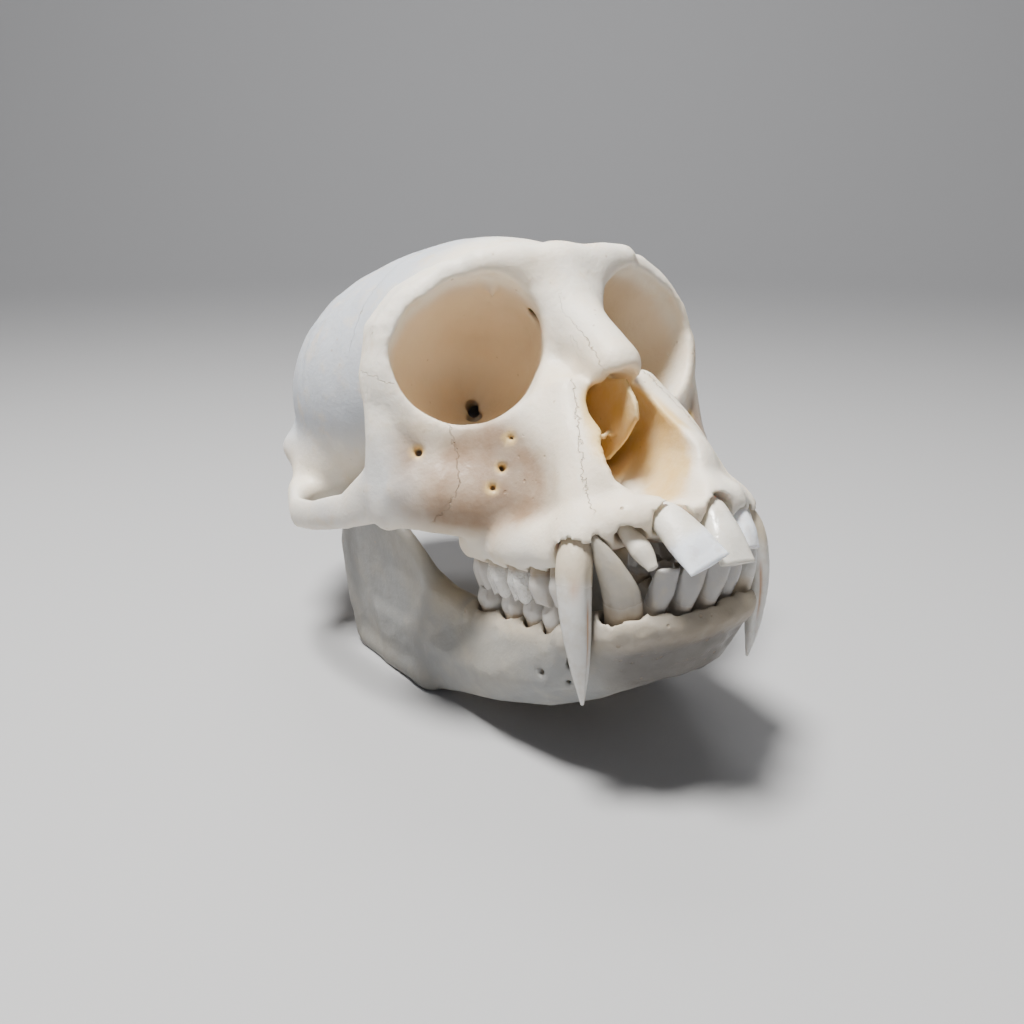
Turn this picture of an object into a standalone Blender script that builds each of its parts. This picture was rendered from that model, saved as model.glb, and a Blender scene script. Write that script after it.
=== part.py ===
"""Vervet monkey skull: cranium, lower jaw and thirty-two teeth, each a solid of its own.

The bones are modelled as soft-joined forms in a distance field, then meshed, thinned out and cut
flat below. Lengths are in millimetres in the skull's own frame (x to its left, y to its back, z up,
chewing plane level) until placed() turns the skull face up and scales it to metres.
"""

import bmesh
import bpy
import numpy as np
import openvdb

# tilt of the skull's own frame in degrees, its offset and the grid's spacing
PITCH = 12.0
ORIGIN = np.array([0.0, 9.97, 0.45])
STEP = 1.1
CRANIUM_TRIANGLES = 4900
MANDIBLE_TRIANGLES = 1500
# colour and roughness
BONE = ((0.80, 0.76, 0.68), 0.55)
JAW_BONE = ((0.74, 0.74, 0.70), 0.6)
ENAMEL = ((0.86, 0.84, 0.79), 0.3)
# hollow of a cheek tooth's chewing face, and point of the other teeth
CUSP_DIP = 0.4
TIP_RISE = 0.2
# side of the cube that cuts the jaw's resting face, in metres
CUTTER_SIZE = 0.2

for old in list(bpy.data.objects):
    bpy.data.objects.remove(old)
PART = bpy.data.collections.new("vervet_monkey_skull")
CUTTERS = bpy.data.collections.new("cutters")
for group in (PART, CUTTERS):
    bpy.context.scene.collection.children.link(group)

# value far outside every form
FAR = 9.0


class Ellipsoid:
    """A ball stretched to three radii, turned about x."""

    def __init__(self, centre, radii, turn=0.0):
        self.centre, self.radii = np.array(centre, float), np.array(radii, float)
        c, s = np.cos(np.radians(turn)), np.sin(np.radians(turn))
        self.axes = np.array([[1, 0, 0], [0, c, -s], [0, s, c]])

    def box(self):
        reach = np.sqrt(((self.axes * self.radii) ** 2).sum(1))
        return self.centre - reach, self.centre + reach

    def distance(self, x, y, z):
        offset = (x - self.centre[0], y - self.centre[1], z - self.centre[2])
        near = 0
        slope = 0
        for k in range(3):
            along = sum(offset[i] * self.axes[i, k] for i in range(3)) / self.radii[k]
            near = near + along ** 2
            slope = slope + (along / self.radii[k]) ** 2
        near = np.sqrt(near)
        return near * (near - 1) / np.sqrt(np.maximum(slope, 1e-9))


class Tube:
    """A chain of tapered round bars. squash multiplies the offsets along x, y, z, so 0.5 doubles the reach."""

    def __init__(self, points, radii, squash=(1, 1, 1), closed=False):
        self.points = [np.array(p, float) for p in points]
        self.radii = list(np.broadcast_to(radii, len(points)).astype(float))
        if closed:
            self.points.append(self.points[0])
            self.radii.append(self.radii[0])
        self.squash = np.array(squash, float)

    def box(self):
        p, r = np.array(self.points), np.array(self.radii)[:, None] / self.squash
        return (p - r).min(0), (p + r).max(0)

    def distance(self, x, y, z):
        best = None
        s = self.squash
        for a, b, ra, rb in zip(self.points, self.points[1:], self.radii, self.radii[1:]):
            d, h = bar(x * s[0], y * s[1], z * s[2], a * s, b * s)
            d = d - (ra + (rb - ra) * h)
            best = d if best is None else np.minimum(best, d)
        return best


def bar(x, y, z, a, b):
    """Distance to the line from a to b, and how far along it the nearest point is."""
    e = b - a
    px, py, pz = x - a[0], y - a[1], z - a[2]
    h = np.clip((px * e[0] + py * e[1] + pz * e[2]) / max(e @ e, 1e-9), 0, 1)
    return np.sqrt((px - h * e[0]) ** 2 + (py - h * e[1]) ** 2 + (pz - h * e[2]) ** 2), h


class Sheet:
    """A thick skin through rows of points, all rows as long; half is half its thickness at each point."""

    def __init__(self, rows, half):
        self.points = np.array(rows, float)
        self.half = np.broadcast_to(half, self.points.shape[:2]).astype(float)

    def box(self):
        r = self.half[..., None]
        return (self.points - r).min((0, 1)), (self.points + r).max((0, 1))

    def distance(self, x, y, z):
        best = None
        n, m = self.half.shape
        for i in range(n - 1):
            for k in range(m - 1):
                corners = [(i, k), (i + 1, k), (i + 1, k + 1), (i, k + 1)]
                for three in ((0, 1, 2), (0, 2, 3)):
                    at = [corners[q] for q in three]
                    d = self.patch(x, y, z, [self.points[q] for q in at], [self.half[q] for q in at])
                    best = d if best is None else np.minimum(best, d)
        return best

    def patch(self, x, y, z, p, r):
        e, f = p[1] - p[0], p[2] - p[0]
        vx, vy, vz = x - p[0][0], y - p[0][1], z - p[0][2]
        ee, ef, ff = e @ e, e @ f, f @ f
        ve, vf = vx * e[0] + vy * e[1] + vz * e[2], vx * f[0] + vy * f[1] + vz * f[2]
        det = max(ee * ff - ef * ef, 1e-9)
        b, c = (ff * ve - ef * vf) / det, (ee * vf - ef * ve) / det
        normal = np.cross(e, f) / np.sqrt(det)
        d = np.abs(vx * normal[0] + vy * normal[1] + vz * normal[2])
        d = d - (r[0] + b * (r[1] - r[0]) + c * (r[2] - r[0]))
        d = np.where((b >= 0) & (c >= 0) & (b + c <= 1), d, FAR * 4)
        for i, k in ((0, 1), (1, 2), (2, 0)):
            side, h = bar(x, y, z, p[i], p[k])
            d = np.minimum(d, side - (r[i] + (r[k] - r[i]) * h))
        return d


class Outline:
    """A flat outline of (x, z) points reaching through from y = front to y = back."""

    def __init__(self, points, front, back):
        self.points, self.front, self.back = np.array(points, float), front, back

    def box(self):
        low, high = self.points.min(0), self.points.max(0)
        return np.array([low[0], self.front, low[1]]), np.array([high[0], self.back, high[1]])

    def distance(self, x, y, z):
        x, z = np.broadcast_arrays(x, z)
        best, inside = None, np.zeros(x.shape, bool)
        for a, b in zip(self.points, np.roll(self.points, -1, 0)):
            e = b - a
            h = np.clip(((x - a[0]) * e[0] + (z - a[1]) * e[1]) / (e @ e), 0, 1)
            d = (x - a[0] - h * e[0]) ** 2 + (z - a[1] - h * e[1]) ** 2
            best = d if best is None else np.minimum(best, d)
            if a[1] != b[1]:
                inside ^= ((a[1] > z) != (b[1] > z)) & (x < a[0] + (z - a[1]) / (b[1] - a[1]) * (b[0] - a[0]))
        flat = np.sqrt(best) * np.where(inside, -1, 1)
        middle, half = (self.front + self.back) / 2, (self.back - self.front) / 2
        return np.maximum(flat, np.abs(y - middle) - half)


class Bowl:
    """A funnel from an oval rim to a point: rim radii at even angles, shrinking with depth along the axis."""

    def __init__(self, centre, side, up, apex, rim, inner, mouth=16.0):
        self.centre, self.side, self.up, self.apex = (np.array(v, float) for v in (centre, side, up, apex))
        self.rim, self.inner, self.mouth = np.array(rim, float), inner, mouth

    def box(self):
        out = (self.centre - self.apex) / np.linalg.norm(self.centre - self.apex)
        ends = np.array([self.centre, self.apex, self.centre + out * self.mouth])
        return ends.min(0) - self.rim.max(), ends.max(0) + self.rim.max()

    def distance(self, x, y, z):
        axis = self.apex - self.centre
        normal = np.cross(self.side, self.up)
        depth = ((x - self.centre[0]) * normal[0] + (y - self.centre[1]) * normal[1]
                 + (z - self.centre[2]) * normal[2]) / (axis @ normal)
        behind, front = np.maximum(depth, 0), np.minimum(depth, 0) * (axis @ normal)
        px, py, pz = (v - c - behind * a - front * n
                      for v, c, a, n in zip((x, y, z), self.centre, axis, normal))
        a = px * self.side[0] + py * self.side[1] + pz * self.side[2]
        b = px * self.up[0] + py * self.up[1] + pz * self.up[2]
        turn = (np.arctan2(b, a) / (2 * np.pi)) % 1 * len(self.rim)
        low = np.floor(turn).astype(int)
        share = turn - low
        share = share * share * (3 - 2 * share)
        n = len(self.rim)
        radius = self.rim[low % n] * (1 - share) + self.rim[(low + 1) % n] * share
        shrink = np.clip(1 - behind ** 1.6, 0, 1) ** 0.75
        length = np.sqrt(axis @ axis)
        flat = np.hypot(a, b) - radius * shrink
        flat = np.maximum(flat * 0.9, self.inner - x)
        return np.maximum(np.maximum(flat, (depth - 1) * length), -depth * length - self.mouth)


class Below:
    """Everything on the low side of a plane through a point."""

    def __init__(self, point, normal, low, high):
        self.point, self.normal = np.array(point, float), np.array(normal, float) / np.linalg.norm(normal)
        self.low, self.high = np.array(low, float), np.array(high, float)

    def box(self):
        return self.low, self.high

    def distance(self, x, y, z):
        n, p = self.normal, self.point
        return (x - p[0]) * n[0] + (y - p[1]) * n[1] + (z - p[2]) * n[2]


class Grid:
    def __init__(self, low, high, step):
        self.low, self.step = np.array(low, float), step
        n = np.ceil((np.array(high, float) - self.low) / step).astype(int) + 1
        self.axes = [(self.low[i] + step * np.arange(n[i])).astype(np.float32) for i in range(3)]
        self.value = np.full(n, FAR, np.float32)

    def window(self, form, margin):
        low, high = form.box()
        at = []
        for i in range(3):
            a = np.clip(int(np.floor((low[i] - margin - self.low[i]) / self.step)), 0, self.value.shape[i])
            b = np.clip(int(np.ceil((high[i] + margin - self.low[i]) / self.step)) + 1, 0, self.value.shape[i])
            at.append(slice(a, b))
        x, y, z = (self.axes[i][at[i]] for i in range(3))
        return tuple(at), x[:, None, None], y[None, :, None], z[None, None, :]

    def join(self, form, soft=2.0):
        at, x, y, z = self.window(form, soft + 2 * self.step)
        old, new = self.value[at], form.distance(x, y, z)
        h = np.maximum(soft - np.abs(old - new), 0)
        self.value[at] = np.minimum(old, new) - h * h / (4 * soft)

    def cut(self, form, soft=0.6):
        at, x, y, z = self.window(form, soft + 2 * self.step)
        old, new = self.value[at], -form.distance(x, y, z)
        h = np.maximum(soft - np.abs(old - new), 0)
        self.value[at] = np.maximum(old, new) + h * h / (4 * soft)

    def copy(self):
        """An empty grid of the same extent."""
        high = self.low + self.step * (np.array(self.value.shape) - 1.01)
        return Grid(self.low, high, self.step)

    def cut_grid(self, other, gap=0.0, soft=0.6):
        """Takes away the other grid's solid, grown by the gap."""
        new = gap - other.value
        h = np.maximum(soft - np.abs(self.value - new), 0)
        self.value = np.maximum(self.value, new) + h * h / (4 * soft)

    def whole(self):
        """Both halves: the mirror image of x > 0 in front."""
        both = np.concatenate([self.value[:0:-1], self.value])
        return both, np.array([-self.axes[0][-1], self.low[1], self.low[2]])


# the eye socket's middle at its rim, its three directions, its deepest point, and rim radii every 30 degrees
ORBIT = np.array([16.6, -18.6, 59.9])
ORBIT_OUT = np.array([0.33, -0.942, 0.065]) / np.linalg.norm([0.33, -0.942, 0.065])
ORBIT_SIDE = np.cross((0, 0, 1), ORBIT_OUT) / np.linalg.norm(np.cross((0, 0, 1), ORBIT_OUT))
ORBIT_UP = np.cross(ORBIT_OUT, ORBIT_SIDE)
ORBIT_APEX = np.array([6.6, 3.0, 50.5])
ORBIT_RIM = [12.3, 11.2, 10.2, 10.8, 12.2, 12.6, 12.0, 11.2, 11.2, 11.6, 12.0, 12.3]

# thickness of the braincase, and clearances round the roots and in the jaw's joint
WALL = 2.5
SOCKET_GAP = 0.6
JOINT_GAP = 0.8
# centre, radii, turn and softness of the balls that make the braincase
BRAINCASE = [((0, 24, 55), (32, 34, 25.5), -10, 3),
             ((0, 4, 59), (22.5, 28, 20.5), -6, 8),
             ((0, 40, 46), (26, 16, 14), 0, 8)]
# corners of the half grid that holds either bone
LOW_CORNER, HIGH_CORNER = (0, -62, -6), (44, 64, 90)


def rim_point(angle, out=0.0, forward=0.0):
    """A point by the orbit's rim. Angle 0 is at its outer side, 90 at its top, 180 at its inner side."""
    r = np.interp(angle % 360, np.arange(13) * 30, ORBIT_RIM + ORBIT_RIM[:1]) + out
    a = np.radians(angle)
    return ORBIT + ORBIT_SIDE * np.cos(a) * r + ORBIT_UP * np.sin(a) * r + ORBIT_OUT * forward


def join_braincase(grid):
    for centre, radii, turn, soft in BRAINCASE:
        grid.join(Ellipsoid(centre, radii, turn), soft)
    grid.cut(Below((0, 0, 37), (0, .02, 1), (0, -30, 20), (44, 62, 40)), 5)
    # ear region, its bony bubble, the bar ahead of the spinal opening, the neck joint and the neck crest
    grid.join(Ellipsoid((25, 31, 42), (7.5, 11, 7)), 5)
    grid.join(Ellipsoid((12, 21, 37.5), (6.5, 9, 4)), 3)
    grid.join(Tube([(0, 37, 37.5), (0, 14, 38.5), (0, 0, 42)], [4.5, 4, 4.5]), 4)
    grid.join(Tube([(5.5, 36, 35.2), (8.2, 42.5, 37)], 2.6), 2)
    grid.join(Tube([(31, 36, 46), (22, 48, 49), (10, 54.5, 50.5), (0, 56.5, 51)], [1.8, 2, 2, 2.2]), 4)


def join_orbits(grid):
    grid.join(Ellipsoid((0, -9, 58), (6, 15, 13)), 4)
    middle = [[(0, -20, 71), (0, -23, 63), (0, -27, 56)], [(0, -4, 68), (0, -4, 60), (0, -6, 50)]]
    grid.join(Sheet(middle, 2.8), 2)
    grid.join(Tube([ORBIT + (-.5, 6.5, -1), ORBIT_APEX + (2.5, 3, 0)], [12.8, 8]), 4)
    angles = np.arange(0, 360, 20)
    radii = np.interp(angles, [0, 45, 90, 135, 180, 240, 300, 360], [1.3, 1.2, 1.7, 2.2, 1.6, 1.8, 2.0, 1.3])
    ring = [rim_point(a, r, -.6) for a, r in zip(angles, radii)]
    grid.join(Tube(ring, radii, closed=True), 3)
    # outer side of the rim, deep from front to back, and the brow bar
    turns = [-70, -40, -10, 20, 50, 80]
    front = [rim_point(a, 1.4, -1) for a in turns]
    back = [rim_point(a, 1.5, -1) + (.4, 5.0, .6) for a in turns]
    grid.join(Sheet([front, back], 1.3), 2.5)
    grid.join(Tube([(0, -20.3, 72.4), (7, -20.4, 72.8), (13, -19.6, 72.6)], [2.6, 2.4, 1.9]), 3)


def join_muzzle(grid):
    grid.join(Tube([(0, -19, 71), (0, -23.5, 64), (0, -33.6, 55.2)], [3.4, 3.6, 4.0]), 4)
    grid.join(Ellipsoid((7.5, -16.5, 43), (12.5, 12, 12)), 5)
    grid.join(Tube([(6.0, -24, 46.5), (5.2, -39, 39.2)], [8.8, 6.4]), 4)
    grid.join(Tube([(10, -18, 38), (8.2, -38, 33.5)], [8.3, 5.2]), 4)
    grid.join(Tube([(4, -41, 36), (0, -43, 33.6)], [4.6, 5.2]), 5)
    # ridge over the canine's root, then the bone that holds the teeth
    ridge = [(7, -31, 52), (10, -36.5, 43), (12.2, -39.8, 35.5), (14.3, -41.8, 31.3)]
    grid.join(Tube(ridge, [1.8, 2.0, 2.6, 3.2]), 3)
    row = [(15.4, -13, 30), (15.8, -24, 30), (15.2, -35, 30.8), (12.6, -42, 32.6), (8.2, -46.4, 34.2),
           (0, -48.2, 34.6)]
    grid.join(Tube(row, [3.3, 3.6, 3.5, 3.3, 3.2, 3.0]), 2.5)
    roof = [[(0, -44, 33.5), (0, -30, 35), (0, -8, 35.5)], [(11, -41, 33), (13, -28, 34), (13, -9, 34)]]
    grid.join(Sheet(roof, 1.6), 2)


def join_cheek(grid):
    root = [(17, -20, 37), (23, -17.5, 38.5), (27.5, -14.5, 40), (28.8, -12.5, 48)]
    grid.join(Tube(root, [6, 5, 4.0, 2.4]), 3)
    grid.join(Tube([(20, -19, 36), (25, -17, 36.5), (30, -12, 36.5)], [3.6, 3.2, 2.4], squash=(1, 1, .8)), 3)
    arch = [(29.8, -10.5, 55), (29.2, -11.5, 47), (30.3, -10, 39.5), (34.0, -2, 36), (36.3, 10, 34.6),
            (36.6, 19, 34.6), (34, 28, 36.5), (28, 34, 40)]
    grid.join(Tube(arch, [1.9, 2.3, 2.6, 1.5, 1.3, 1.4, 1.7, 2], squash=(1, 1, .5)), 3)
    upper = [rim_point(a, 1.6, -1) for a in (350, 320, 290, 262)]
    lower = [(29.6, -10.5, 40), (27, -14, 39), (22.5, -17.5, 38.5), (16.5, -20, 38)]
    grid.join(Sheet([upper, lower], [[1.3, 1.6, 1.9, 2.0], [2.0, 2.2, 2.6, 3.0]]), 3)
    # stop behind the jaw joint
    grid.join(Tube([(32, 25.5, 37.5), (25, 25.5, 38)], [1.8, 2.2]), 3)


def cut_hollows(grid):
    grid.cut(Bowl(ORBIT, ORBIT_SIDE, ORBIT_UP, ORBIT_APEX, ORBIT_RIM, 2.3), .8)
    grid.cut(Tube([ORBIT_APEX, (3, 9, 49)], 1.3), .5)
    # nose: the pear-shaped opening, then the passage to the back of the palate
    side = [(1.2, 54.2), (2.4, 53.2), (3.8, 51), (4.8, 48), (5.2, 45), (5, 42), (4.2, 40), (2.6, 37.6),
            (1, 35.8)]
    grid.cut(Outline(side + [(-x, z) for x, z in side[::-1]], -52, -30), .8)
    passage = [(0, -36, 45.5), (0, -20, 45), (0, -6, 42), (0, 3, 34)]
    grid.cut(Tube(passage, [4.6, 5.2, 5.2, 5], squash=(1, 1, .85)), 1)
    grid.cut(Tube([(0, -40, 25.5), (0, -6, 25.5)], [7.6, 10.5], squash=(1, 1, 1.45)), 1.5)
    room = grid.copy()
    for centre, radii, turn, soft in BRAINCASE:
        room.join(Ellipsoid(centre, np.array(radii) - WALL, turn), soft)
    room.cut(Below((0, 0, 40.5), (0, .02, 1), (0, -30, 20), (44, 62, 44)), 5)
    room.cut(Tube([ORBIT + (-.5, 8, -1), ORBIT_APEX + (1, 1, 0)], [15, 6.5]), 2)
    room.cut(Ellipsoid((0, -9, 54), (9, 15, 15)), 2)
    grid.cut_grid(room, 0, 1)
    grid.cut(Tube([(0, 42, 30), (0, 40, 46)], [6.2, 7]), 1)


def cut_sockets(grid, jaw):
    """Room for the jaw's own roots, and for the canines of the other jaw, which pass close by."""
    for name, (path, along, across, way) in TEETH.items():
        deep = 3 if jaw in name else len(path)
        if jaw in name or "canine" in name:
            mirror = (np.sign(path[0][0]), 1, 1)
            points = np.array(path[:deep]) * mirror
            reach = np.maximum(np.subtract(along, across), .1)[:deep, None] * (np.array(way) * mirror)
            half = np.array(across)[:deep] + SOCKET_GAP
            grid.cut(Sheet([points - reach, points + reach], [half, half]), .4)


def cranium(step):
    grid = Grid(LOW_CORNER, HIGH_CORNER, step)
    join_braincase(grid)
    join_orbits(grid)
    join_muzzle(grid)
    join_cheek(grid)
    cut_hollows(grid)
    cut_sockets(grid, "upper")
    return grid


def mandible(step, above):
    grid = Grid(LOW_CORNER, HIGH_CORNER, step)
    # rows of the body from the chin to the angle: tooth line, middle and lower border
    top = [(0, -46.0, 17.5), (5.4, -45.6, 17.6), (10.2, -42.9, 17.2), (13.4, -36, 16), (15, -26, 15.2),
           (16.2, -13, 15.5), (19.5, -3, 20)]
    mid = [(0, -42.6, 12.4), (5, -42.0, 12.2), (9.6, -38.6, 11.2), (14.2, -31, 10), (17, -20, 9),
           (18.9, -8, 9.5), (21, 2, 11)]
    low = [(0, -38.6, 10), (4.6, -37.6, 9.6), (8.4, -34.4, 8), (12.4, -27, 5.8), (16, -17, 4.7),
           (18.4, -7, 4.2), (20.4, 4, 2.9)]
    half = [[3.1, 3.1, 3.4, 3.2, 3.4, 3.2, 1.8], [3.2, 3.1, 3, 3, 3.0, 2.8, 1.8],
            [2.4, 2.4, 2.4, 2.3, 2.2, 2.1, 2.0]]
    grid.join(Sheet([top, mid, low], half), 2)
    # rows of the upright part from its front edge to its back edge, each from the bottom up
    rows = [[(19.5, -3, 20), (22.5, 0.5, 29), (25.5, 6, 36), (26.6, 9, 39.5)],
            [(21, 3, 12), (23, 7.5, 24), (25, 10, 32.5), (26.4, 10.5, 38)],
            [(22, 14, 5.5), (24, 16, 20), (25.2, 17, 30), (25.8, 18, 33.5)],
            [(23.6, 26.6, 8), (24.8, 27.4, 17), (25.6, 25.4, 27), (26, 20.6, 33)]]
    half = [[1.8, 1.2, 1, .9], [1.8, .9, .9, .8], [1.8, 1, 1, 1.1], [2.0, 1.5, 1.4, 1.4]]
    grid.join(Sheet(rows, half), 2.5)
    grid.join(Sheet([[(20.4, 3, 3), (22.2, 14.5, 5)], [(21, 3, 12), (23, 15, 14)]], 1.8), 2)
    grid.join(Tube([(20.8, 2, 3.6), (22.2, 14.5, 4.9), (23.4, 24, 6.9)], 2.1), 2)
    grid.join(Tube([(22.2, 20.4, 34.2), (29, 19.2, 34.2)], 1.9, squash=(1, .85, 1)), 2)
    cut_sockets(grid, "lower")
    grid.cut_grid(above, JOINT_GAP, .5)
    return grid


def cheek_teeth(jaw, ends, middles, widths, root, neck, belly, tip):
    teeth = {}
    for k, kind in enumerate(("p3", "p4", "m1", "m2", "m3")):
        x, y = middles[k], (ends[k] + ends[k + 1]) / 2
        a, b = (ends[k + 1] - ends[k]) / 2 - .15, widths[k]
        path = [(x - .2 * np.sign(root - neck), y + .4, root), (x, y, neck), (x, y, belly), (x - .2, y, tip)]
        teeth[f"{jaw}_{kind}"] = (path, [a * .7, a * .84, a, a * .8], [b * .55, b * .76, b, b * .72], (0, 1, 0))
    return teeth


def all_teeth():
    """Path from root to tip, half widths along the row and across it, and the row's direction, by name."""
    pairs = {
        "upper_canine": ([(10.8, -38, 36.8), (13.2, -41.3, 33.2), (16.2, -42.9, 28.8), (16.6, -43, 20),
                          (16.0, -42, 13), (15.5, -40.9, 8.1)],
                         [1.5, 2.2, 2.8, 2.3, 1.4, .25], [1.4, 2.1, 2.6, 2.0, 1.2, .25], (.35, 1, 0)),
        "lower_canine": ([(8.6, -39.4, 12.5), (10.2, -43.6, 18.2), (11.7, -46.0, 24), (12.9, -46.0, 29),
                          (13.9, -44.4, 33.3)],
                         [2.0, 2.6, 2.2, 1.5, .25], [1.8, 2.2, 1.9, 1.1, .25], (.5, 1, 0)),
        "lower_i1": ([(1.9, -43.4, 15), (2.2, -46.8, 20.5), (2.4, -49.2, 24), (2.4, -51, 27.2)],
                     [1.1, 1.5, 2.1, 2.2], [1.3, 1.8, 1.4, .4], (1, 0, 0)),
        "lower_i2": ([(5.6, -42.4, 15), (6.3, -45.8, 20.5), (6.8, -48.2, 24), (6.9, -50, 27)],
                     [1.1, 1.5, 2.0, 1.8], [1.3, 1.8, 1.4, .4], (1, .25, 0)),
    }
    ends, middles = [-39.9, -35.8, -31.4, -25.4, -18.7, -12.2], [15.0, 15.6, 15.9, 15.9, 15.4]
    pairs.update(cheek_teeth("upper", ends, middles, [2.2, 2.5, 2.9, 3.1, 2.8], 30.5, 27, 24.8, 21.9))
    ends, middles = [-41.0, -36.3, -31.6, -25.9, -19.2, -11.8], [13.8, 14.4, 14.4, 14.6, 15.2]
    pairs.update(cheek_teeth("lower", ends, middles, [1.9, 2.2, 2.4, 2.6, 2.6], 13.5, 17.8, 19.6, 21.6))
    teeth = {}
    for side, m in (("left", 1), ("right", -1)):
        for name, (path, along, across, way) in pairs.items():
            turned = [(x * m, y, z) for x, y, z in path]
            teeth[f"{side}_{name}"] = (turned, along, across, (way[0] * m, way[1], way[2]))
    # the four upper incisors stand unevenly, the right pair loose and slipped forward
    teeth["right_upper_i1"] = ([(-4.0, -44.6, 37), (-4.3, -49.2, 34), (-3.8, -53, 31), (-3.0, -56, 28)],
                               [1.6, 2.5, 3.2, 3.4], [1.5, 2.2, 1.9, .5], (.95, 0, .3))
    teeth["left_upper_i1"] = ([(3.4, -43.6, 37.4), (4.3, -48.4, 34), (4.0, -52.2, 30.2), (3.7, -54.8, 27)],
                              [1.5, 2.2, 2.9, 3.0], [1.5, 2.2, 1.9, .5], (1, 0, 0))
    teeth["right_upper_i2"] = ([(-9.2, -44.4, 35), (-9.6, -46.2, 32.4), (-9.4, -48.4, 30), (-9.0, -50, 27.6)],
                               [1.0, 1.2, 1.7, .8], [1.0, 1.2, 1.5, .5], (.95, -.3, 0))
    teeth["left_upper_i2"] = ([(9.0, -43.0, 36.2), (9.4, -46.6, 33), (9.5, -49, 30), (9.3, -50.6, 27.6)],
                              [1.1, 1.6, 2.0, 1.5], [1.2, 1.8, 1.6, .5], (.95, .3, 0))
    return teeth


TEETH = all_teeth()


def tooth_mesh(path, along, across, way, sides=8, rings=6, dip=0.0):
    """Loft of ovals along the path. Dip lowers the middle of the chewing end."""
    path, way = np.array(path, float), np.array(way, float)
    n = len(path)
    s = np.linspace(0, n - 1, rings)
    curve = np.array([[np.interp(v, range(n), path[:, i]) for i in range(3)] for v in s])
    curve[1:-1] = (curve[:-2] + 4 * curve[1:-1] + curve[2:]) / 6
    tangent = np.gradient(curve, axis=0)
    tangent /= np.linalg.norm(tangent, axis=1)[:, None]
    points = []
    for p, t, a, b in zip(curve, tangent, np.interp(s, range(n), along), np.interp(s, range(n), across)):
        v = way - t * (way @ t)
        v /= np.linalg.norm(v)
        o = np.cross(t, v)
        for q in np.linspace(0, 2 * np.pi, sides, endpoint=False):
            points.append(p + v * a * np.cos(q) + o * b * np.sin(q))
    points += [curve[0], curve[-1] - tangent[-1] * dip]
    faces = []
    last = (rings - 1) * sides
    for k in range(sides):
        m = (k + 1) % sides
        faces += [(i + k, i + m, i + m + sides, i + k + sides) for i in range(0, last, sides)]
        faces += [(m, k, len(points) - 2), (last + k, last + m, len(points) - 1)]
    return np.array(points), faces


def surface(name, grid):
    """Mesh of the whole form, turned face up, moved to the part's origin and scaled to metres."""
    value, corner = grid.whole()
    volume = openvdb.FloatGrid(FAR)
    volume.copyFromArray(value)
    points, triangles, quads = volume.convertToPolygons(0.0, 0.0)
    faces = [tuple(int(i) for i in f) for f in quads] + [tuple(int(i) for i in f) for f in triangles]
    item = new_object(name, points * grid.step + corner, faces)
    keep_largest_body(item.data)
    return item


def keep_largest_body(mesh):
    """Drops the crumbs left between neighbouring sockets."""
    work = bmesh.new()
    work.from_mesh(mesh)
    left, bodies = set(work.verts), []
    while left:
        body, edge_of_body = [], [left.pop()]
        while edge_of_body:
            body.append(edge_of_body.pop())
            for edge in body[-1].link_edges:
                other = edge.other_vert(body[-1])
                if other in left:
                    left.remove(other)
                    edge_of_body.append(other)
        bodies.append(body)
    bodies.sort(key=len)
    bmesh.ops.delete(work, geom=[v for body in bodies[:-1] for v in body], context="VERTS")
    work.to_mesh(mesh)
    work.free()


def placed(points):
    """From millimetres in the skull's own frame to metres in the part's."""
    c, s = np.cos(np.radians(PITCH)), np.sin(np.radians(PITCH))
    x, y, z = np.array(points, float).T
    return (np.stack([x, c * y + s * z, c * z - s * y], 1) - ORIGIN) * 0.001


def new_object(name, points, faces):
    mesh = bpy.data.meshes.new(name)
    mesh.from_pydata(placed(points).tolist(), [], faces)
    mesh.shade_smooth()
    item = bpy.data.objects.new(name, mesh)
    item.data.materials.append(material(name))
    PART.objects.link(item)
    return item


def material(name):
    """Own material for each piece: warm bone, greyer jaw bone or smooth enamel."""
    colour, roughness = ENAMEL
    if name == "cranium":
        colour, roughness = BONE
    if name == "mandible":
        colour, roughness = JAW_BONE
    new = bpy.data.materials.new(name)
    new.use_nodes = True
    shader = new.node_tree.nodes["Principled BSDF"]
    shader.inputs["Base Color"].default_value = (*colour, 1)
    shader.inputs["Roughness"].default_value = roughness
    shader.inputs["Metallic"].default_value = 0.0
    return new


def thin_out(item, triangles):
    """Fewer, larger triangles where the bone is smooth."""
    count = sum(len(face.vertices) - 2 for face in item.data.polygons)
    thin = item.modifiers.new("thin_out", "DECIMATE")
    thin.ratio = triangles / count
    thin.use_collapse_triangulate = True


def rest_cutter():
    """Box whose top is the surface that the jaw rests on."""
    work = bmesh.new()
    bmesh.ops.create_cube(work, size=CUTTER_SIZE)
    bmesh.ops.translate(work, verts=work.verts, vec=(0, 0, -CUTTER_SIZE / 2))
    mesh = bpy.data.meshes.new("rest_cutter")
    work.to_mesh(mesh)
    work.free()
    cutter = bpy.data.objects.new("rest_cutter", mesh)
    cutter.hide_render = True
    cutter.display_type = "WIRE"
    CUTTERS.objects.link(cutter)
    return cutter


upper = cranium(STEP)
thin_out(surface("cranium", upper), CRANIUM_TRIANGLES)
jaw = surface("mandible", mandible(STEP, upper))
thin_out(jaw, MANDIBLE_TRIANGLES)
flat = jaw.modifiers.new("rest_faces", "BOOLEAN")
flat.operation = "DIFFERENCE"
flat.solver = "EXACT"
flat.object = rest_cutter()
for tooth, form in TEETH.items():
    new_object(tooth, *tooth_mesh(*form, dip=CUSP_DIP if tooth[-2] in "mp" else -TIP_RISE))
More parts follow.
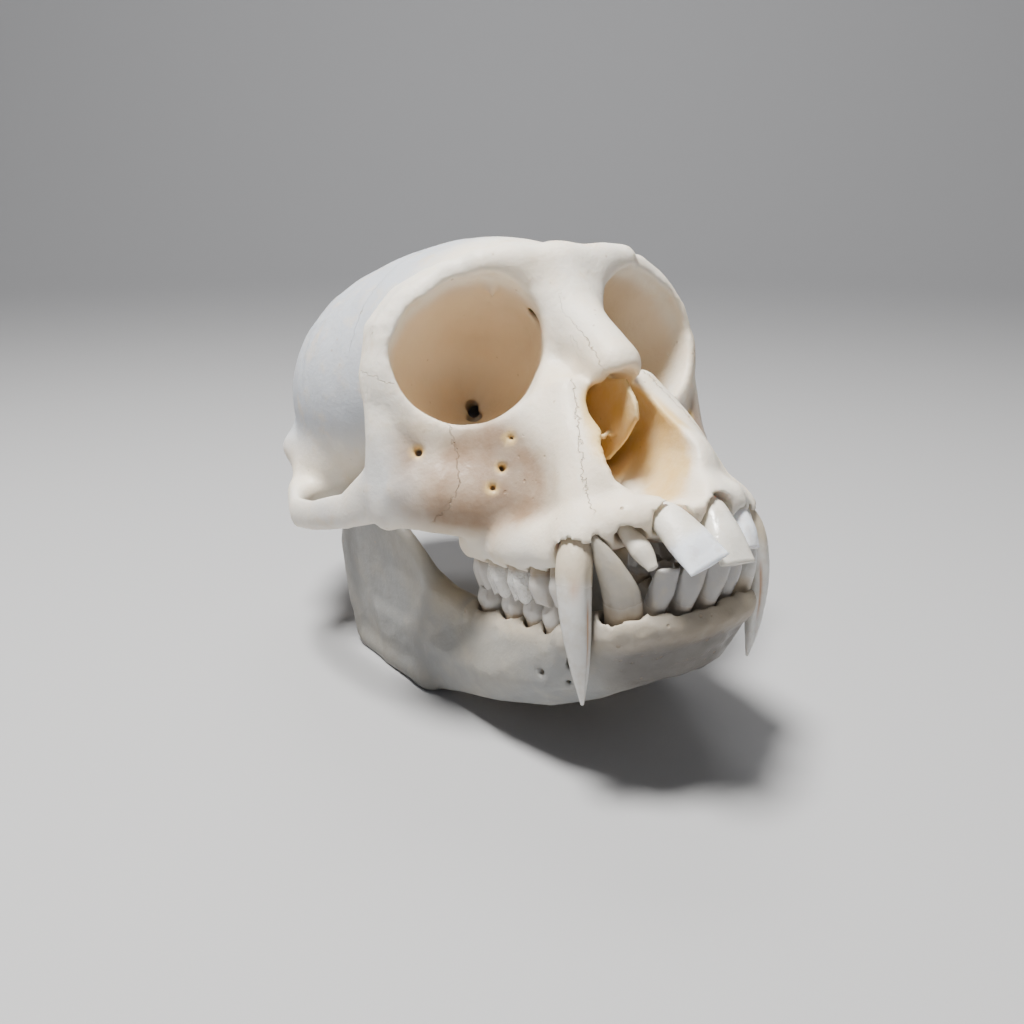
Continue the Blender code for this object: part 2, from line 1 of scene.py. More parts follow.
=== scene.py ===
"""Looks of the vervet monkey skull: fine meshes of bones and teeth, materials, floor, lights and camera.

The bones and teeth are the same forms as the solids, on a finer grid, with the small openings, seams and
rough places that the solids leave out. Forms are in millimetres in the skull's own frame (x to its left,
y to its back, z up, chewing plane level) until placed() turns them into the part's frame, in metres.
"""

import bmesh
import bpy
import numpy as np
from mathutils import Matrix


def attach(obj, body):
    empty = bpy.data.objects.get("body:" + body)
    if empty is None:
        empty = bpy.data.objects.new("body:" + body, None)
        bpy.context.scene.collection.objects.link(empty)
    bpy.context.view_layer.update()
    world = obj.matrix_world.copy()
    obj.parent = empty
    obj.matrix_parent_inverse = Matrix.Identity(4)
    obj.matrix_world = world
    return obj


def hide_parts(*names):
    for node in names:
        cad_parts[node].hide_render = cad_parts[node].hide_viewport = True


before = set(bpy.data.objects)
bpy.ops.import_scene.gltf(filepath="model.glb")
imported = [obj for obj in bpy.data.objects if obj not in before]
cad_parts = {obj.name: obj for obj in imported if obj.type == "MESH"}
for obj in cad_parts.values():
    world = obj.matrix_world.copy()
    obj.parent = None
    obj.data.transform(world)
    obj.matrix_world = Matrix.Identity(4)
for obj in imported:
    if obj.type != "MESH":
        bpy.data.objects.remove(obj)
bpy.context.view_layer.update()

import openvdb
from mathutils import Vector

# tilt of the skull's own frame in degrees, and its offset
PITCH = 12.0
ORIGIN = np.array([0.0, 9.97, 0.45])
# hollow of a cheek tooth's chewing face, and point of the other teeth
CUSP_DIP = 0.4
TIP_RISE = 0.2

# value far outside every form
FAR = 9.0


class Ellipsoid:
    """A ball stretched to three radii, turned about x."""

    def __init__(self, centre, radii, turn=0.0):
        self.centre, self.radii = np.array(centre, float), np.array(radii, float)
        c, s = np.cos(np.radians(turn)), np.sin(np.radians(turn))
        self.axes = np.array([[1, 0, 0], [0, c, -s], [0, s, c]])

    def box(self):
        reach = np.sqrt(((self.axes * self.radii) ** 2).sum(1))
        return self.centre - reach, self.centre + reach

    def distance(self, x, y, z):
        offset = (x - self.centre[0], y - self.centre[1], z - self.centre[2])
        near = 0
        slope = 0
        for k in range(3):
            along = sum(offset[i] * self.axes[i, k] for i in range(3)) / self.radii[k]
            near = near + along ** 2
            slope = slope + (along / self.radii[k]) ** 2
        near = np.sqrt(near)
        return near * (near - 1) / np.sqrt(np.maximum(slope, 1e-9))


class Tube:
    """A chain of tapered round bars. squash scales the offsets along x, y, z, so 0.5 doubles the reach."""

    def __init__(self, points, radii, squash=(1, 1, 1), closed=False):
        self.points = [np.array(p, float) for p in points]
        self.radii = list(np.broadcast_to(radii, len(points)).astype(float))
        if closed:
            self.points.append(self.points[0])
            self.radii.append(self.radii[0])
        self.squash = np.array(squash, float)

    def box(self):
        p, r = np.array(self.points), np.array(self.radii)[:, None] / self.squash
        return (p - r).min(0), (p + r).max(0)

    def distance(self, x, y, z):
        best = None
        s = self.squash
        for a, b, ra, rb in zip(self.points, self.points[1:], self.radii, self.radii[1:]):
            d, h = bar(x * s[0], y * s[1], z * s[2], a * s, b * s)
            d = d - (ra + (rb - ra) * h)
            best = d if best is None else np.minimum(best, d)
        return best


def bar(x, y, z, a, b):
    """Distance to the line from a to b, and how far along it the nearest point is."""
    e = b - a
    px, py, pz = x - a[0], y - a[1], z - a[2]
    h = np.clip((px * e[0] + py * e[1] + pz * e[2]) / max(e @ e, 1e-9), 0, 1)
    return np.sqrt((px - h * e[0]) ** 2 + (py - h * e[1]) ** 2 + (pz - h * e[2]) ** 2), h


class Sheet:
    """A thick skin through rows of points, all rows as long; half is half its thickness at each point."""

    def __init__(self, rows, half):
        self.points = np.array(rows, float)
        self.half = np.broadcast_to(half, self.points.shape[:2]).astype(float)

    def box(self):
        r = self.half[..., None]
        return (self.points - r).min((0, 1)), (self.points + r).max((0, 1))

    def distance(self, x, y, z):
        best = None
        n, m = self.half.shape
        for i in range(n - 1):
            for k in range(m - 1):
                corners = [(i, k), (i + 1, k), (i + 1, k + 1), (i, k + 1)]
                for three in ((0, 1, 2), (0, 2, 3)):
                    at = [corners[q] for q in three]
                    d = self.patch(x, y, z, [self.points[q] for q in at], [self.half[q] for q in at])
                    best = d if best is None else np.minimum(best, d)
        return best

    def patch(self, x, y, z, p, r):
        e, f = p[1] - p[0], p[2] - p[0]
        vx, vy, vz = x - p[0][0], y - p[0][1], z - p[0][2]
        ee, ef, ff = e @ e, e @ f, f @ f
        ve, vf = vx * e[0] + vy * e[1] + vz * e[2], vx * f[0] + vy * f[1] + vz * f[2]
        det = max(ee * ff - ef * ef, 1e-9)
        b, c = (ff * ve - ef * vf) / det, (ee * vf - ef * ve) / det
        normal = np.cross(e, f) / np.sqrt(det)
        d = np.abs(vx * normal[0] + vy * normal[1] + vz * normal[2])
        d = d - (r[0] + b * (r[1] - r[0]) + c * (r[2] - r[0]))
        d = np.where((b >= 0) & (c >= 0) & (b + c <= 1), d, FAR * 4)
        for i, k in ((0, 1), (1, 2), (2, 0)):
            side, h = bar(x, y, z, p[i], p[k])
            d = np.minimum(d, side - (r[i] + (r[k] - r[i]) * h))
        return d


class Outline:
    """A flat outline of (x, z) points reaching through from y = front to y = back."""

    def __init__(self, points, front, back):
        self.points, self.front, self.back = np.array(points, float), front, back

    def box(self):
        low, high = self.points.min(0), self.points.max(0)
        return np.array([low[0], self.front, low[1]]), np.array([high[0], self.back, high[1]])

    def distance(self, x, y, z):
        x, z = np.broadcast_arrays(x, z)
        best, inside = None, np.zeros(x.shape, bool)
        for a, b in zip(self.points, np.roll(self.points, -1, 0)):
            e = b - a
            h = np.clip(((x - a[0]) * e[0] + (z - a[1]) * e[1]) / (e @ e), 0, 1)
            d = (x - a[0] - h * e[0]) ** 2 + (z - a[1] - h * e[1]) ** 2
            best = d if best is None else np.minimum(best, d)
            if a[1] != b[1]:
                inside ^= ((a[1] > z) != (b[1] > z)) & (x < a[0] + (z - a[1]) / (b[1] - a[1]) * (b[0] - a[0]))
        flat = np.sqrt(best) * np.where(inside, -1, 1)
        middle, half = (self.front + self.back) / 2, (self.back - self.front) / 2
        return np.maximum(flat, np.abs(y - middle) - half)


class Bowl:
    """A funnel from an oval rim to a point: rim radii at even angles, shrinking with depth along the axis."""

    def __init__(self, centre, side, up, apex, rim, inner, mouth=16.0):
        self.centre, self.side, self.up, self.apex = (np.array(v, float) for v in (centre, side, up, apex))
        self.rim, self.inner, self.mouth = np.array(rim, float), inner, mouth

    def box(self):
        out = (self.centre - self.apex) / np.linalg.norm(self.centre - self.apex)
        ends = np.array([self.centre, self.apex, self.centre + out * self.mouth])
        return ends.min(0) - self.rim.max(), ends.max(0) + self.rim.max()

    def distance(self, x, y, z):
        axis = self.apex - self.centre
        normal = np.cross(self.side, self.up)
        depth = ((x - self.centre[0]) * normal[0] + (y - self.centre[1]) * normal[1]
                 + (z - self.centre[2]) * normal[2]) / (axis @ normal)
        behind, front = np.maximum(depth, 0), np.minimum(depth, 0) * (axis @ normal)
        px, py, pz = (v - c - behind * a - front * n
                      for v, c, a, n in zip((x, y, z), self.centre, axis, normal))
        a = px * self.side[0] + py * self.side[1] + pz * self.side[2]
        b = px * self.up[0] + py * self.up[1] + pz * self.up[2]
        turn = (np.arctan2(b, a) / (2 * np.pi)) % 1 * len(self.rim)
        low = np.floor(turn).astype(int)
        share = turn - low
        share = share * share * (3 - 2 * share)
        n = len(self.rim)
        radius = self.rim[low % n] * (1 - share) + self.rim[(low + 1) % n] * share
        shrink = np.clip(1 - behind ** 1.6, 0, 1) ** 0.75
        length = np.sqrt(axis @ axis)
        flat = np.hypot(a, b) - radius * shrink
        flat = np.maximum(flat * 0.9, self.inner - x)
        return np.maximum(np.maximum(flat, (depth - 1) * length), -depth * length - self.mouth)


class Below:
    """Everything on the low side of a plane through a point."""

    def __init__(self, point, normal, low, high):
        self.point, self.normal = np.array(point, float), np.array(normal, float) / np.linalg.norm(normal)
        self.low, self.high = np.array(low, float), np.array(high, float)

    def box(self):
        return self.low, self.high

    def distance(self, x, y, z):
        n, p = self.normal, self.point
        return (x - p[0]) * n[0] + (y - p[1]) * n[1] + (z - p[2]) * n[2]


class Grid:
    def __init__(self, low, high, step):
        self.low, self.step = np.array(low, float), step
        n = np.ceil((np.array(high, float) - self.low) / step).astype(int) + 1
        self.axes = [(self.low[i] + step * np.arange(n[i])).astype(np.float32) for i in range(3)]
        self.value = np.full(n, FAR, np.float32)

    def window(self, form, margin):
        low, high = form.box()
        at = []
        for i in range(3):
            n = self.value.shape[i]
            a = np.clip(int(np.floor((low[i] - margin - self.low[i]) / self.step)), 0, n)
            b = np.clip(int(np.ceil((high[i] + margin - self.low[i]) / self.step)) + 1, 0, n)
            at.append(slice(a, b))
        x, y, z = (self.axes[i][at[i]] for i in range(3))
        return tuple(at), x[:, None, None], y[None, :, None], z[None, None, :]

    def join(self, form, soft=2.0):
        at, x, y, z = self.window(form, soft + 2 * self.step)
        old, new = self.value[at], form.distance(x, y, z)
        h = np.maximum(soft - np.abs(old - new), 0)
        self.value[at] = np.minimum(old, new) - h * h / (4 * soft)

    def cut(self, form, soft=0.6):
        at, x, y, z = self.window(form, soft + 2 * self.step)
        old, new = self.value[at], -form.distance(x, y, z)
        h = np.maximum(soft - np.abs(old - new), 0)
        self.value[at] = np.maximum(old, new) + h * h / (4 * soft)

    def copy(self):
        """An empty grid of the same extent."""
        high = self.low + self.step * (np.array(self.value.shape) - 1.01)
        return Grid(self.low, high, self.step)

    def cut_grid(self, other, gap=0.0, soft=0.6):
        """Takes away the other grid's solid, grown by the gap."""
        new = gap - other.value
        h = np.maximum(soft - np.abs(self.value - new), 0)
        self.value = np.maximum(self.value, new) + h * h / (4 * soft)

    def whole(self):
        """Both halves: the mirror image of x > 0 in front."""
        both = np.concatenate([self.value[:0:-1], self.value])
        return both, np.array([-self.axes[0][-1], self.low[1], self.low[2]])


# the eye socket's middle at its rim, its three directions, its deepest point, and rim radii every 30 degrees
ORBIT = np.array([16.6, -18.6, 59.9])
ORBIT_OUT = np.array([0.33, -0.942, 0.065]) / np.linalg.norm([0.33, -0.942, 0.065])
ORBIT_SIDE = np.cross((0, 0, 1), ORBIT_OUT) / np.linalg.norm(np.cross((0, 0, 1), ORBIT_OUT))
ORBIT_UP = np.cross(ORBIT_OUT, ORBIT_SIDE)
ORBIT_APEX = np.array([6.6, 3.0, 50.5])
ORBIT_RIM = [12.3, 11.2, 10.2, 10.8, 12.2, 12.6, 12.0, 11.2, 11.2, 11.6, 12.0, 12.3]

# thickness of the braincase, and clearances round the roots and in the jaw's joint
WALL = 2.5
SOCKET_GAP = 0.15
JOINT_GAP = 0.8
# centre, radii, turn and softness of the balls that make the braincase
BRAINCASE = [((0, 24, 55), (32, 34, 25.5), -10, 3),
             ((0, 4, 59), (22.5, 28, 20.5), -6, 8),
             ((0, 40, 46), (26, 16, 14), 0, 8)]
# corners of the half grid that holds either bone
LOW_CORNER, HIGH_CORNER = (0, -62, -6), (44, 64, 90)


def rim_point(angle, out=0.0, forward=0.0):
    """A point by the orbit's rim. Angle 0 is at its outer side, 90 at its top, 180 at its inner side."""
    r = np.interp(angle % 360, np.arange(13) * 30, ORBIT_RIM + ORBIT_RIM[:1]) + out
    a = np.radians(angle)
    return ORBIT + ORBIT_SIDE * np.cos(a) * r + ORBIT_UP * np.sin(a) * r + ORBIT_OUT * forward


def join_braincase(grid):
    for centre, radii, turn, soft in BRAINCASE:
        grid.join(Ellipsoid(centre, radii, turn), soft)
    grid.cut(Below((0, 0, 37), (0, .02, 1), (0, -30, 20), (44, 62, 40)), 5)
    # ear region, its bony bubble, the bar ahead of the spinal opening, the neck joint and the neck crest
    grid.join(Ellipsoid((25, 31, 42), (7.5, 11, 7)), 5)
    grid.join(Ellipsoid((12, 21, 37.5), (6.5, 9, 4)), 3)
    grid.join(Tube([(0, 37, 37.5), (0, 14, 38.5), (0, 0, 42)], [4.5, 4, 4.5]), 4)
    grid.join(Tube([(5.5, 36, 35.2), (8.2, 42.5, 37)], 2.6), 2)
    grid.join(Tube([(31, 36, 46), (22, 48, 49), (10, 54.5, 50.5), (0, 56.5, 51)], [1.8, 2, 2, 2.2]), 4)


def join_orbits(grid):
    grid.join(Ellipsoid((0, -9, 58), (6, 15, 13)), 4)
    middle = [[(0, -20, 71), (0, -23, 63), (0, -27, 56)], [(0, -4, 68), (0, -4, 60), (0, -6, 50)]]
    grid.join(Sheet(middle, 2.8), 2)
    grid.join(Tube([ORBIT + (-.5, 6.5, -1), ORBIT_APEX + (2.5, 3, 0)], [12.8, 8]), 4)
    angles = np.arange(0, 360, 20)
    radii = np.interp(angles, [0, 45, 90, 135, 180, 240, 300, 360], [1.3, 1.2, 1.7, 2.2, 1.6, 1.8, 2.0, 1.3])
    ring = [rim_point(a, r, -.6) for a, r in zip(angles, radii)]
    grid.join(Tube(ring, radii, closed=True), 3)
    # outer side of the rim, deep from front to back, and the brow bar
    turns = [-70, -40, -10, 20, 50, 80]
    front = [rim_point(a, 1.4, -1) for a in turns]
    back = [rim_point(a, 1.5, -1) + (.4, 5.0, .6) for a in turns]
    grid.join(Sheet([front, back], 1.3), 2.5)
    grid.join(Tube([(0, -20.3, 72.4), (7, -20.4, 72.8), (13, -19.6, 72.6)], [2.6, 2.4, 1.9]), 3)


def join_muzzle(grid):
    grid.join(Tube([(0, -19, 71), (0, -23.5, 64), (0, -33.6, 55.2)], [3.4, 3.6, 4.0]), 4)
    grid.join(Ellipsoid((7.5, -16.5, 43), (12.5, 12, 12)), 5)
    grid.join(Tube([(6.0, -24, 46.5), (5.2, -39, 39.2)], [8.8, 6.4]), 4)
    grid.join(Tube([(10, -18, 38), (8.2, -38, 33.5)], [8.3, 5.2]), 4)
    grid.join(Tube([(4, -41, 36), (0, -43, 33.6)], [4.6, 5.2]), 5)
    # ridge over the canine's root, then the bone that holds the teeth
    ridge = [(7, -31, 52), (10, -36.5, 43), (12.2, -39.8, 35.5), (14.3, -41.8, 31.3)]
    grid.join(Tube(ridge, [1.8, 2.0, 2.6, 3.2]), 3)
    row = [(15.4, -13, 30), (15.8, -24, 30), (15.2, -35, 30.8), (12.6, -42, 32.6), (8.2, -46.4, 34.2),
           (0, -48.2, 34.6)]
    grid.join(Tube(row, [3.3, 3.6, 3.5, 3.3, 3.2, 3.0]), 2.5)
    roof = [[(0, -44, 33.5), (0, -30, 35), (0, -8, 35.5)], [(11, -41, 33), (13, -28, 34), (13, -9, 34)]]
    grid.join(Sheet(roof, 1.6), 2)


def join_cheek(grid):
    root = [(17, -20, 37), (23, -17.5, 38.5), (27.5, -14.5, 40), (28.8, -12.5, 48)]
    grid.join(Tube(root, [6, 5, 4.0, 2.4]), 3)
    grid.join(Tube([(20, -19, 36), (25, -17, 36.5), (30, -12, 36.5)], [3.6, 3.2, 2.4], squash=(1, 1, .8)), 3)
    arch = [(29.8, -10.5, 55), (29.2, -11.5, 47), (30.3, -10, 39.5), (34.0, -2, 36), (36.3, 10, 34.6),
            (36.6, 19, 34.6), (34, 28, 36.5), (28, 34, 40)]
    grid.join(Tube(arch, [1.9, 2.3, 2.6, 1.5, 1.3, 1.4, 1.7, 2], squash=(1, 1, .5)), 3)
    upper = [rim_point(a, 1.6, -1) for a in (350, 320, 290, 262)]
    lower = [(29.6, -10.5, 40), (27, -14, 39), (22.5, -17.5, 38.5), (16.5, -20, 38)]
    grid.join(Sheet([upper, lower], [[1.3, 1.6, 1.9, 2.0], [2.0, 2.2, 2.6, 3.0]]), 3)
    # stop behind the jaw joint
    grid.join(Tube([(32, 25.5, 37.5), (25, 25.5, 38)], [1.8, 2.2]), 3)


def cut_hollows(grid):
    grid.cut(Bowl(ORBIT, ORBIT_SIDE, ORBIT_UP, ORBIT_APEX, ORBIT_RIM, 2.3), .8)
    grid.cut(Tube([ORBIT_APEX, (3, 9, 49)], 1.3), .5)
    # nose: the pear-shaped opening, then the passage to the back of the palate
    side = [(1.2, 54.2), (2.4, 53.2), (3.8, 51), (4.8, 48), (5.2, 45), (5, 42), (4.2, 40), (2.6, 37.6),
            (1, 35.8)]
    grid.cut(Outline(side + [(-x, z) for x, z in side[::-1]], -52, -30), .8)
    passage = [(0, -36, 45.5), (0, -20, 45), (0, -6, 42), (0, 3, 34)]
    grid.cut(Tube(passage, [4.6, 5.2, 5.2, 5], squash=(1, 1, .85)), 1)
    grid.cut(Tube([(0, -40, 25.5), (0, -6, 25.5)], [7.6, 10.5], squash=(1, 1, 1.45)), 1.5)
    room = grid.copy()
    for centre, radii, turn, soft in BRAINCASE:
        room.join(Ellipsoid(centre, np.array(radii) - WALL, turn), soft)
    room.cut(Below((0, 0, 40.5), (0, .02, 1), (0, -30, 20), (44, 62, 44)), 5)
    room.cut(Tube([ORBIT + (-.5, 8, -1), ORBIT_APEX + (1, 1, 0)], [15, 6.5]), 2)
    room.cut(Ellipsoid((0, -9, 54), (9, 15, 15)), 2)
    grid.cut_grid(room, 0, 1)
    grid.cut(Tube([(0, 42, 30), (0, 40, 46)], [6.2, 7]), 1)


def cut_sockets(grid, jaw):
    """Room for the jaw's own roots, and for the canines of the other jaw, which pass close by."""
    for name, (path, along, across, way) in TEETH.items():
        deep = 3 if jaw in name else len(path)
        if jaw in name or "canine" in name:
            mirror = (np.sign(path[0][0]), 1, 1)
            points = np.array(path[:deep]) * mirror
            reach = np.maximum(np.subtract(along, across), .1)[:deep, None] * (np.array(way) * mirror)
            half = np.array(across)[:deep] + SOCKET_GAP
            grid.cut(Sheet([points - reach, points + reach], [half, half]), .4)


def cranium(step):
    grid = Grid(LOW_CORNER, HIGH_CORNER, step)
    join_braincase(grid)
    join_orbits(grid)
    join_muzzle(grid)
    join_cheek(grid)
    cut_hollows(grid)
    cut_sockets(grid, "upper")
    return grid


def mandible(step, above):
    grid = Grid(LOW_CORNER, HIGH_CORNER, step)
    # rows of the body from the chin to the angle: tooth line, middle and lower border
    top = [(0, -46.0, 17.5), (5.4, -45.6, 17.6), (10.2, -42.9, 17.2), (13.4, -36, 16), (15, -26, 15.2),
           (16.2, -13, 15.5), (19.5, -3, 20)]
    mid = [(0, -42.6, 12.4), (5, -42.0, 12.2), (9.6, -38.6, 11.2), (14.2, -31, 10), (17, -20, 9),
           (18.9, -8, 9.5), (21, 2, 11)]
    low = [(0, -38.6, 10), (4.6, -37.6, 9.6), (8.4, -34.4, 8), (12.4, -27, 5.8), (16, -17, 4.7),
           (18.4, -7, 4.2), (20.4, 4, 2.9)]
    half = [[3.1, 3.1, 3.4, 3.2, 3.4, 3.2, 1.8], [3.2, 3.1, 3, 3, 3.0, 2.8, 1.8],
            [2.4, 2.4, 2.4, 2.3, 2.2, 2.1, 2.0]]
    grid.join(Sheet([top, mid, low], half), 2)
    # rows of the upright part from its front edge to its back edge, each from the bottom up
    rows = [[(19.5, -3, 20), (22.5, 0.5, 29), (25.5, 6, 36), (26.6, 9, 39.5)],
            [(21, 3, 12), (23, 7.5, 24), (25, 10, 32.5), (26.4, 10.5, 38)],
            [(22, 14, 5.5), (24, 16, 20), (25.2, 17, 30), (25.8, 18, 33.5)],
            [(23.6, 26.6, 8), (24.8, 27.4, 17), (25.6, 25.4, 27), (26, 20.6, 33)]]
    half = [[1.8, 1.2, 1, .9], [1.8, .9, .9, .8], [1.8, 1, 1, 1.1], [2.0, 1.5, 1.4, 1.4]]
    grid.join(Sheet(rows, half), 2.5)
    grid.join(Sheet([[(20.4, 3, 3), (22.2, 14.5, 5)], [(21, 3, 12), (23, 15, 14)]], 1.8), 2)
    grid.join(Tube([(20.8, 2, 3.6), (22.2, 14.5, 4.9), (23.4, 24, 6.9)], 2.1), 2)
    grid.join(Tube([(22.2, 20.4, 34.2), (29, 19.2, 34.2)], 1.9, squash=(1, .85, 1)), 2)
    cut_sockets(grid, "lower")
    grid.cut_grid(above, JOINT_GAP, .5)
    return grid


def cheek_teeth(jaw, ends, middles, widths, root, neck, belly, tip):
    teeth = {}
    for k, kind in enumerate(("p3", "p4", "m1", "m2", "m3")):
        x, y = middles[k], (ends[k] + ends[k + 1]) / 2
        a, b = (ends[k + 1] - ends[k]) / 2 - .15, widths[k]
        path = [(x - .2 * np.sign(root - neck), y + .4, root), (x, y, neck), (x, y, belly), (x - .2, y, tip)]
        along, across = [a * .7, a * .84, a, a * .8], [b * .55, b * .76, b, b * .72]
        teeth[f"{jaw}_{kind}"] = (path, along, across, (0, 1, 0))
    return teeth


def all_teeth():
    """Path from root to tip, half widths along the row and across it, and the row's direction, by name."""
    pairs = {
        "upper_canine": ([(10.8, -38, 36.8), (13.2, -41.3, 33.2), (16.2, -42.9, 28.8), (16.6, -43, 20),
                          (16.0, -42, 13), (15.5, -40.9, 8.1)],
                         [1.5, 2.2, 2.8, 2.3, 1.4, .25], [1.4, 2.1, 2.6, 2.0, 1.2, .25], (.35, 1, 0)),
        "lower_canine": ([(8.6, -39.4, 12.5), (10.2, -43.6, 18.2), (11.7, -46.0, 24), (12.9, -46.0, 29),
                          (13.9, -44.4, 33.3)],
                         [2.0, 2.6, 2.2, 1.5, .25], [1.8, 2.2, 1.9, 1.1, .25], (.5, 1, 0)),
        "lower_i1": ([(1.9, -43.4, 15), (2.2, -46.8, 20.5), (2.4, -49.2, 24), (2.4, -51, 27.2)],
                     [1.1, 1.5, 2.1, 2.2], [1.3, 1.8, 1.4, .4], (1, 0, 0)),
        "lower_i2": ([(5.6, -42.4, 15), (6.3, -45.8, 20.5), (6.8, -48.2, 24), (6.9, -50, 27)],
                     [1.1, 1.5, 2.0, 1.8], [1.3, 1.8, 1.4, .4], (1, .25, 0)),
    }
    ends, middles = [-39.9, -35.8, -31.4, -25.4, -18.7, -12.2], [15.0, 15.6, 15.9, 15.9, 15.4]
    pairs.update(cheek_teeth("upper", ends, middles, [2.2, 2.5, 2.9, 3.1, 2.8], 30.5, 27, 24.8, 21.9))
    ends, middles = [-41.0, -36.3, -31.6, -25.9, -19.2, -11.8], [13.8, 14.4, 14.4, 14.6, 15.2]
    pairs.update(cheek_teeth("lower", ends, middles, [1.9, 2.2, 2.4, 2.6, 2.6], 13.5, 17.8, 19.6, 21.6))
    teeth = {}
    for side, m in (("left", 1), ("right", -1)):
        for name, (path, along, across, way) in pairs.items():
            turned = [(x * m, y, z) for x, y, z in path]
            teeth[f"{side}_{name}"] = (turned, along, across, (way[0] * m, way[1], way[2]))
    # the four upper incisors stand unevenly, the right pair loose and slipped forward
    teeth["right_upper_i1"] = ([(-4.0, -44.6, 37), (-4.3, -49.2, 34), (-3.8, -53, 31), (-3.0, -56, 28)],
                               [1.6, 2.5, 3.2, 3.4], [1.5, 2.2, 1.9, .5], (.95, 0, .3))
    teeth["left_upper_i1"] = ([(3.4, -43.6, 37.4), (4.3, -48.4, 34), (4.0, -52.2, 30.2), (3.7, -54.8, 27)],
                              [1.5, 2.2, 2.9, 3.0], [1.5, 2.2, 1.9, .5], (1, 0, 0))
    teeth["right_upper_i2"] = ([(-9.2, -44.4, 35), (-9.6, -46.2, 32.4), (-9.4, -48.4, 30), (-9.0, -50, 27.6)],
                               [1.0, 1.2, 1.7, .8], [1.0, 1.2, 1.5, .5], (.95, -.3, 0))
    teeth["left_upper_i2"] = ([(9.0, -43.0, 36.2), (9.4, -46.6, 33), (9.5, -49, 30), (9.3, -50.6, 27.6)],
                              [1.1, 1.6, 2.0, 1.5], [1.2, 1.8, 1.6, .5], (.95, .3, 0))
    return teeth


TEETH = all_teeth()


def tooth_mesh(path, along, across, way, sides, rings, dip):
    """Loft of ovals along the path. Dip lowers the middle of the chewing end."""
    path, way = np.array(path, float), np.array(way, float)
    n = len(path)
    s = np.linspace(0, n - 1, rings)
    curve = np.array([[np.interp(v, range(n), path[:, i]) for i in range(3)] for v in s])
    curve[1:-1] = (curve[:-2] + 4 * curve[1:-1] + curve[2:]) / 6
    tangent = np.gradient(curve, axis=0)
    tangent /= np.linalg.norm(tangent, axis=1)[:, None]
    points = []
    for p, t, a, b in zip(curve, tangent, np.interp(s, range(n), along), np.interp(s, range(n), across)):
        v = way - t * (way @ t)
        v /= np.linalg.norm(v)
        o = np.cross(t, v)
        for q in np.linspace(0, 2 * np.pi, sides, endpoint=False):
            points.append(p + v * a * np.cos(q) + o * b * np.sin(q))
    points += [curve[0], curve[-1] - tangent[-1] * dip]
    faces = []
    last = (rings - 1) * sides
    for k in range(sides):
        m = (k + 1) % sides
        faces += [(i + k, i + m, i + m + sides, i + k + sides) for i in range(0, last, sides)]
        faces += [(m, k, len(points) - 2), (last + k, last + m, len(points) - 1)]
    return np.array(points), faces


# spacing of the fine grid in millimetres, and the most triangles that the cranium keeps
FINE = 0.5
FINE_TRIANGLES = 170000
# points along each side of the noise's lattice
NOISE_CELLS = 24
# how far from a line its groove or ridge reaches, and the shares of its length where it fades in and out
LINE_REACH = 2.5
FADE_IN, FADE_OUT = (.005, .06), (.94, .995)

# lines where bones meet, on the right side, from one end to the other
BROW_SUTURE = [(-33.2, -8.0, 58.9), (-31.7, -11.0, 58.3), (-31.3, -14.5, 57.4), (-30.1, -15.8, 56.4),
               (-28.4, -16.4, 55.6)]
CHEEK_SUTURE = [(-21.8, -19.0, 49.4), (-21.8, -19.9, 48.3), (-21.5, -20.8, 44.2), (-22.1, -22.0, 42.0),
                (-23.1, -23.2, 39.1), (-24.6, -22.4, 36.6), (-26.7, -19.6, 34.2)]
NOSE_SUTURE = [(-4.4, -27.5, 62), (-6.2, -31.5, 55), (-8.0, -34.4, 50.8), (-8.6, -35.8, 49.2),
               (-10.5, -38.8, 45.0), (-11.3, -39.8, 43.0), (-12.1, -41.3, 39.9), (-12.7, -43.3, 36.9),
               (-12.9, -44.8, 34.6)]
NASAL_SUTURE = [(-1.8, -21.5, 68), (-2.3, -25.0, 64), (-2.8, -30.5, 60), (-3.6, -34.8, 56.5),
                (-4.3, -36.5, 54)]
MIDDLE_SUTURE = [(0.3, -45.9, 35.4), (0.2, -48.5, 34.6), (0.3, -51.0, 33.0)]
CROWN_SUTURE = [(-29.5, 6, 62), (-22, 7.5, 73), (-12, 9.5, 80), (-4, 11, 82.4), (0, 11.6, 82.6)]
SUTURES = (BROW_SUTURE, CHEEK_SUTURE, NOSE_SUTURE, NASAL_SUTURE, CROWN_SUTURE, MIDDLE_SUTURE)
# ridges on the side of the braincase, and the one on the side of the jaw
TEMPORAL_LINE = [(-27.5, -6.5, 68), (-23.5, 2, 73), (-22, 14, 75), (-22.5, 28, 73), (-23, 40, 66)]
LOWER_LINE = [(-29.6, -6.5, 64), (-27.5, 3, 69), (-27, 14, 70.5), (-27, 27, 68), (-26, 39, 62)]
JAW_LINE = [(-19.0, -6, 18), (-21.5, -1, 15), (-23.5, 6, 12), (-24.5, 14, 9)]

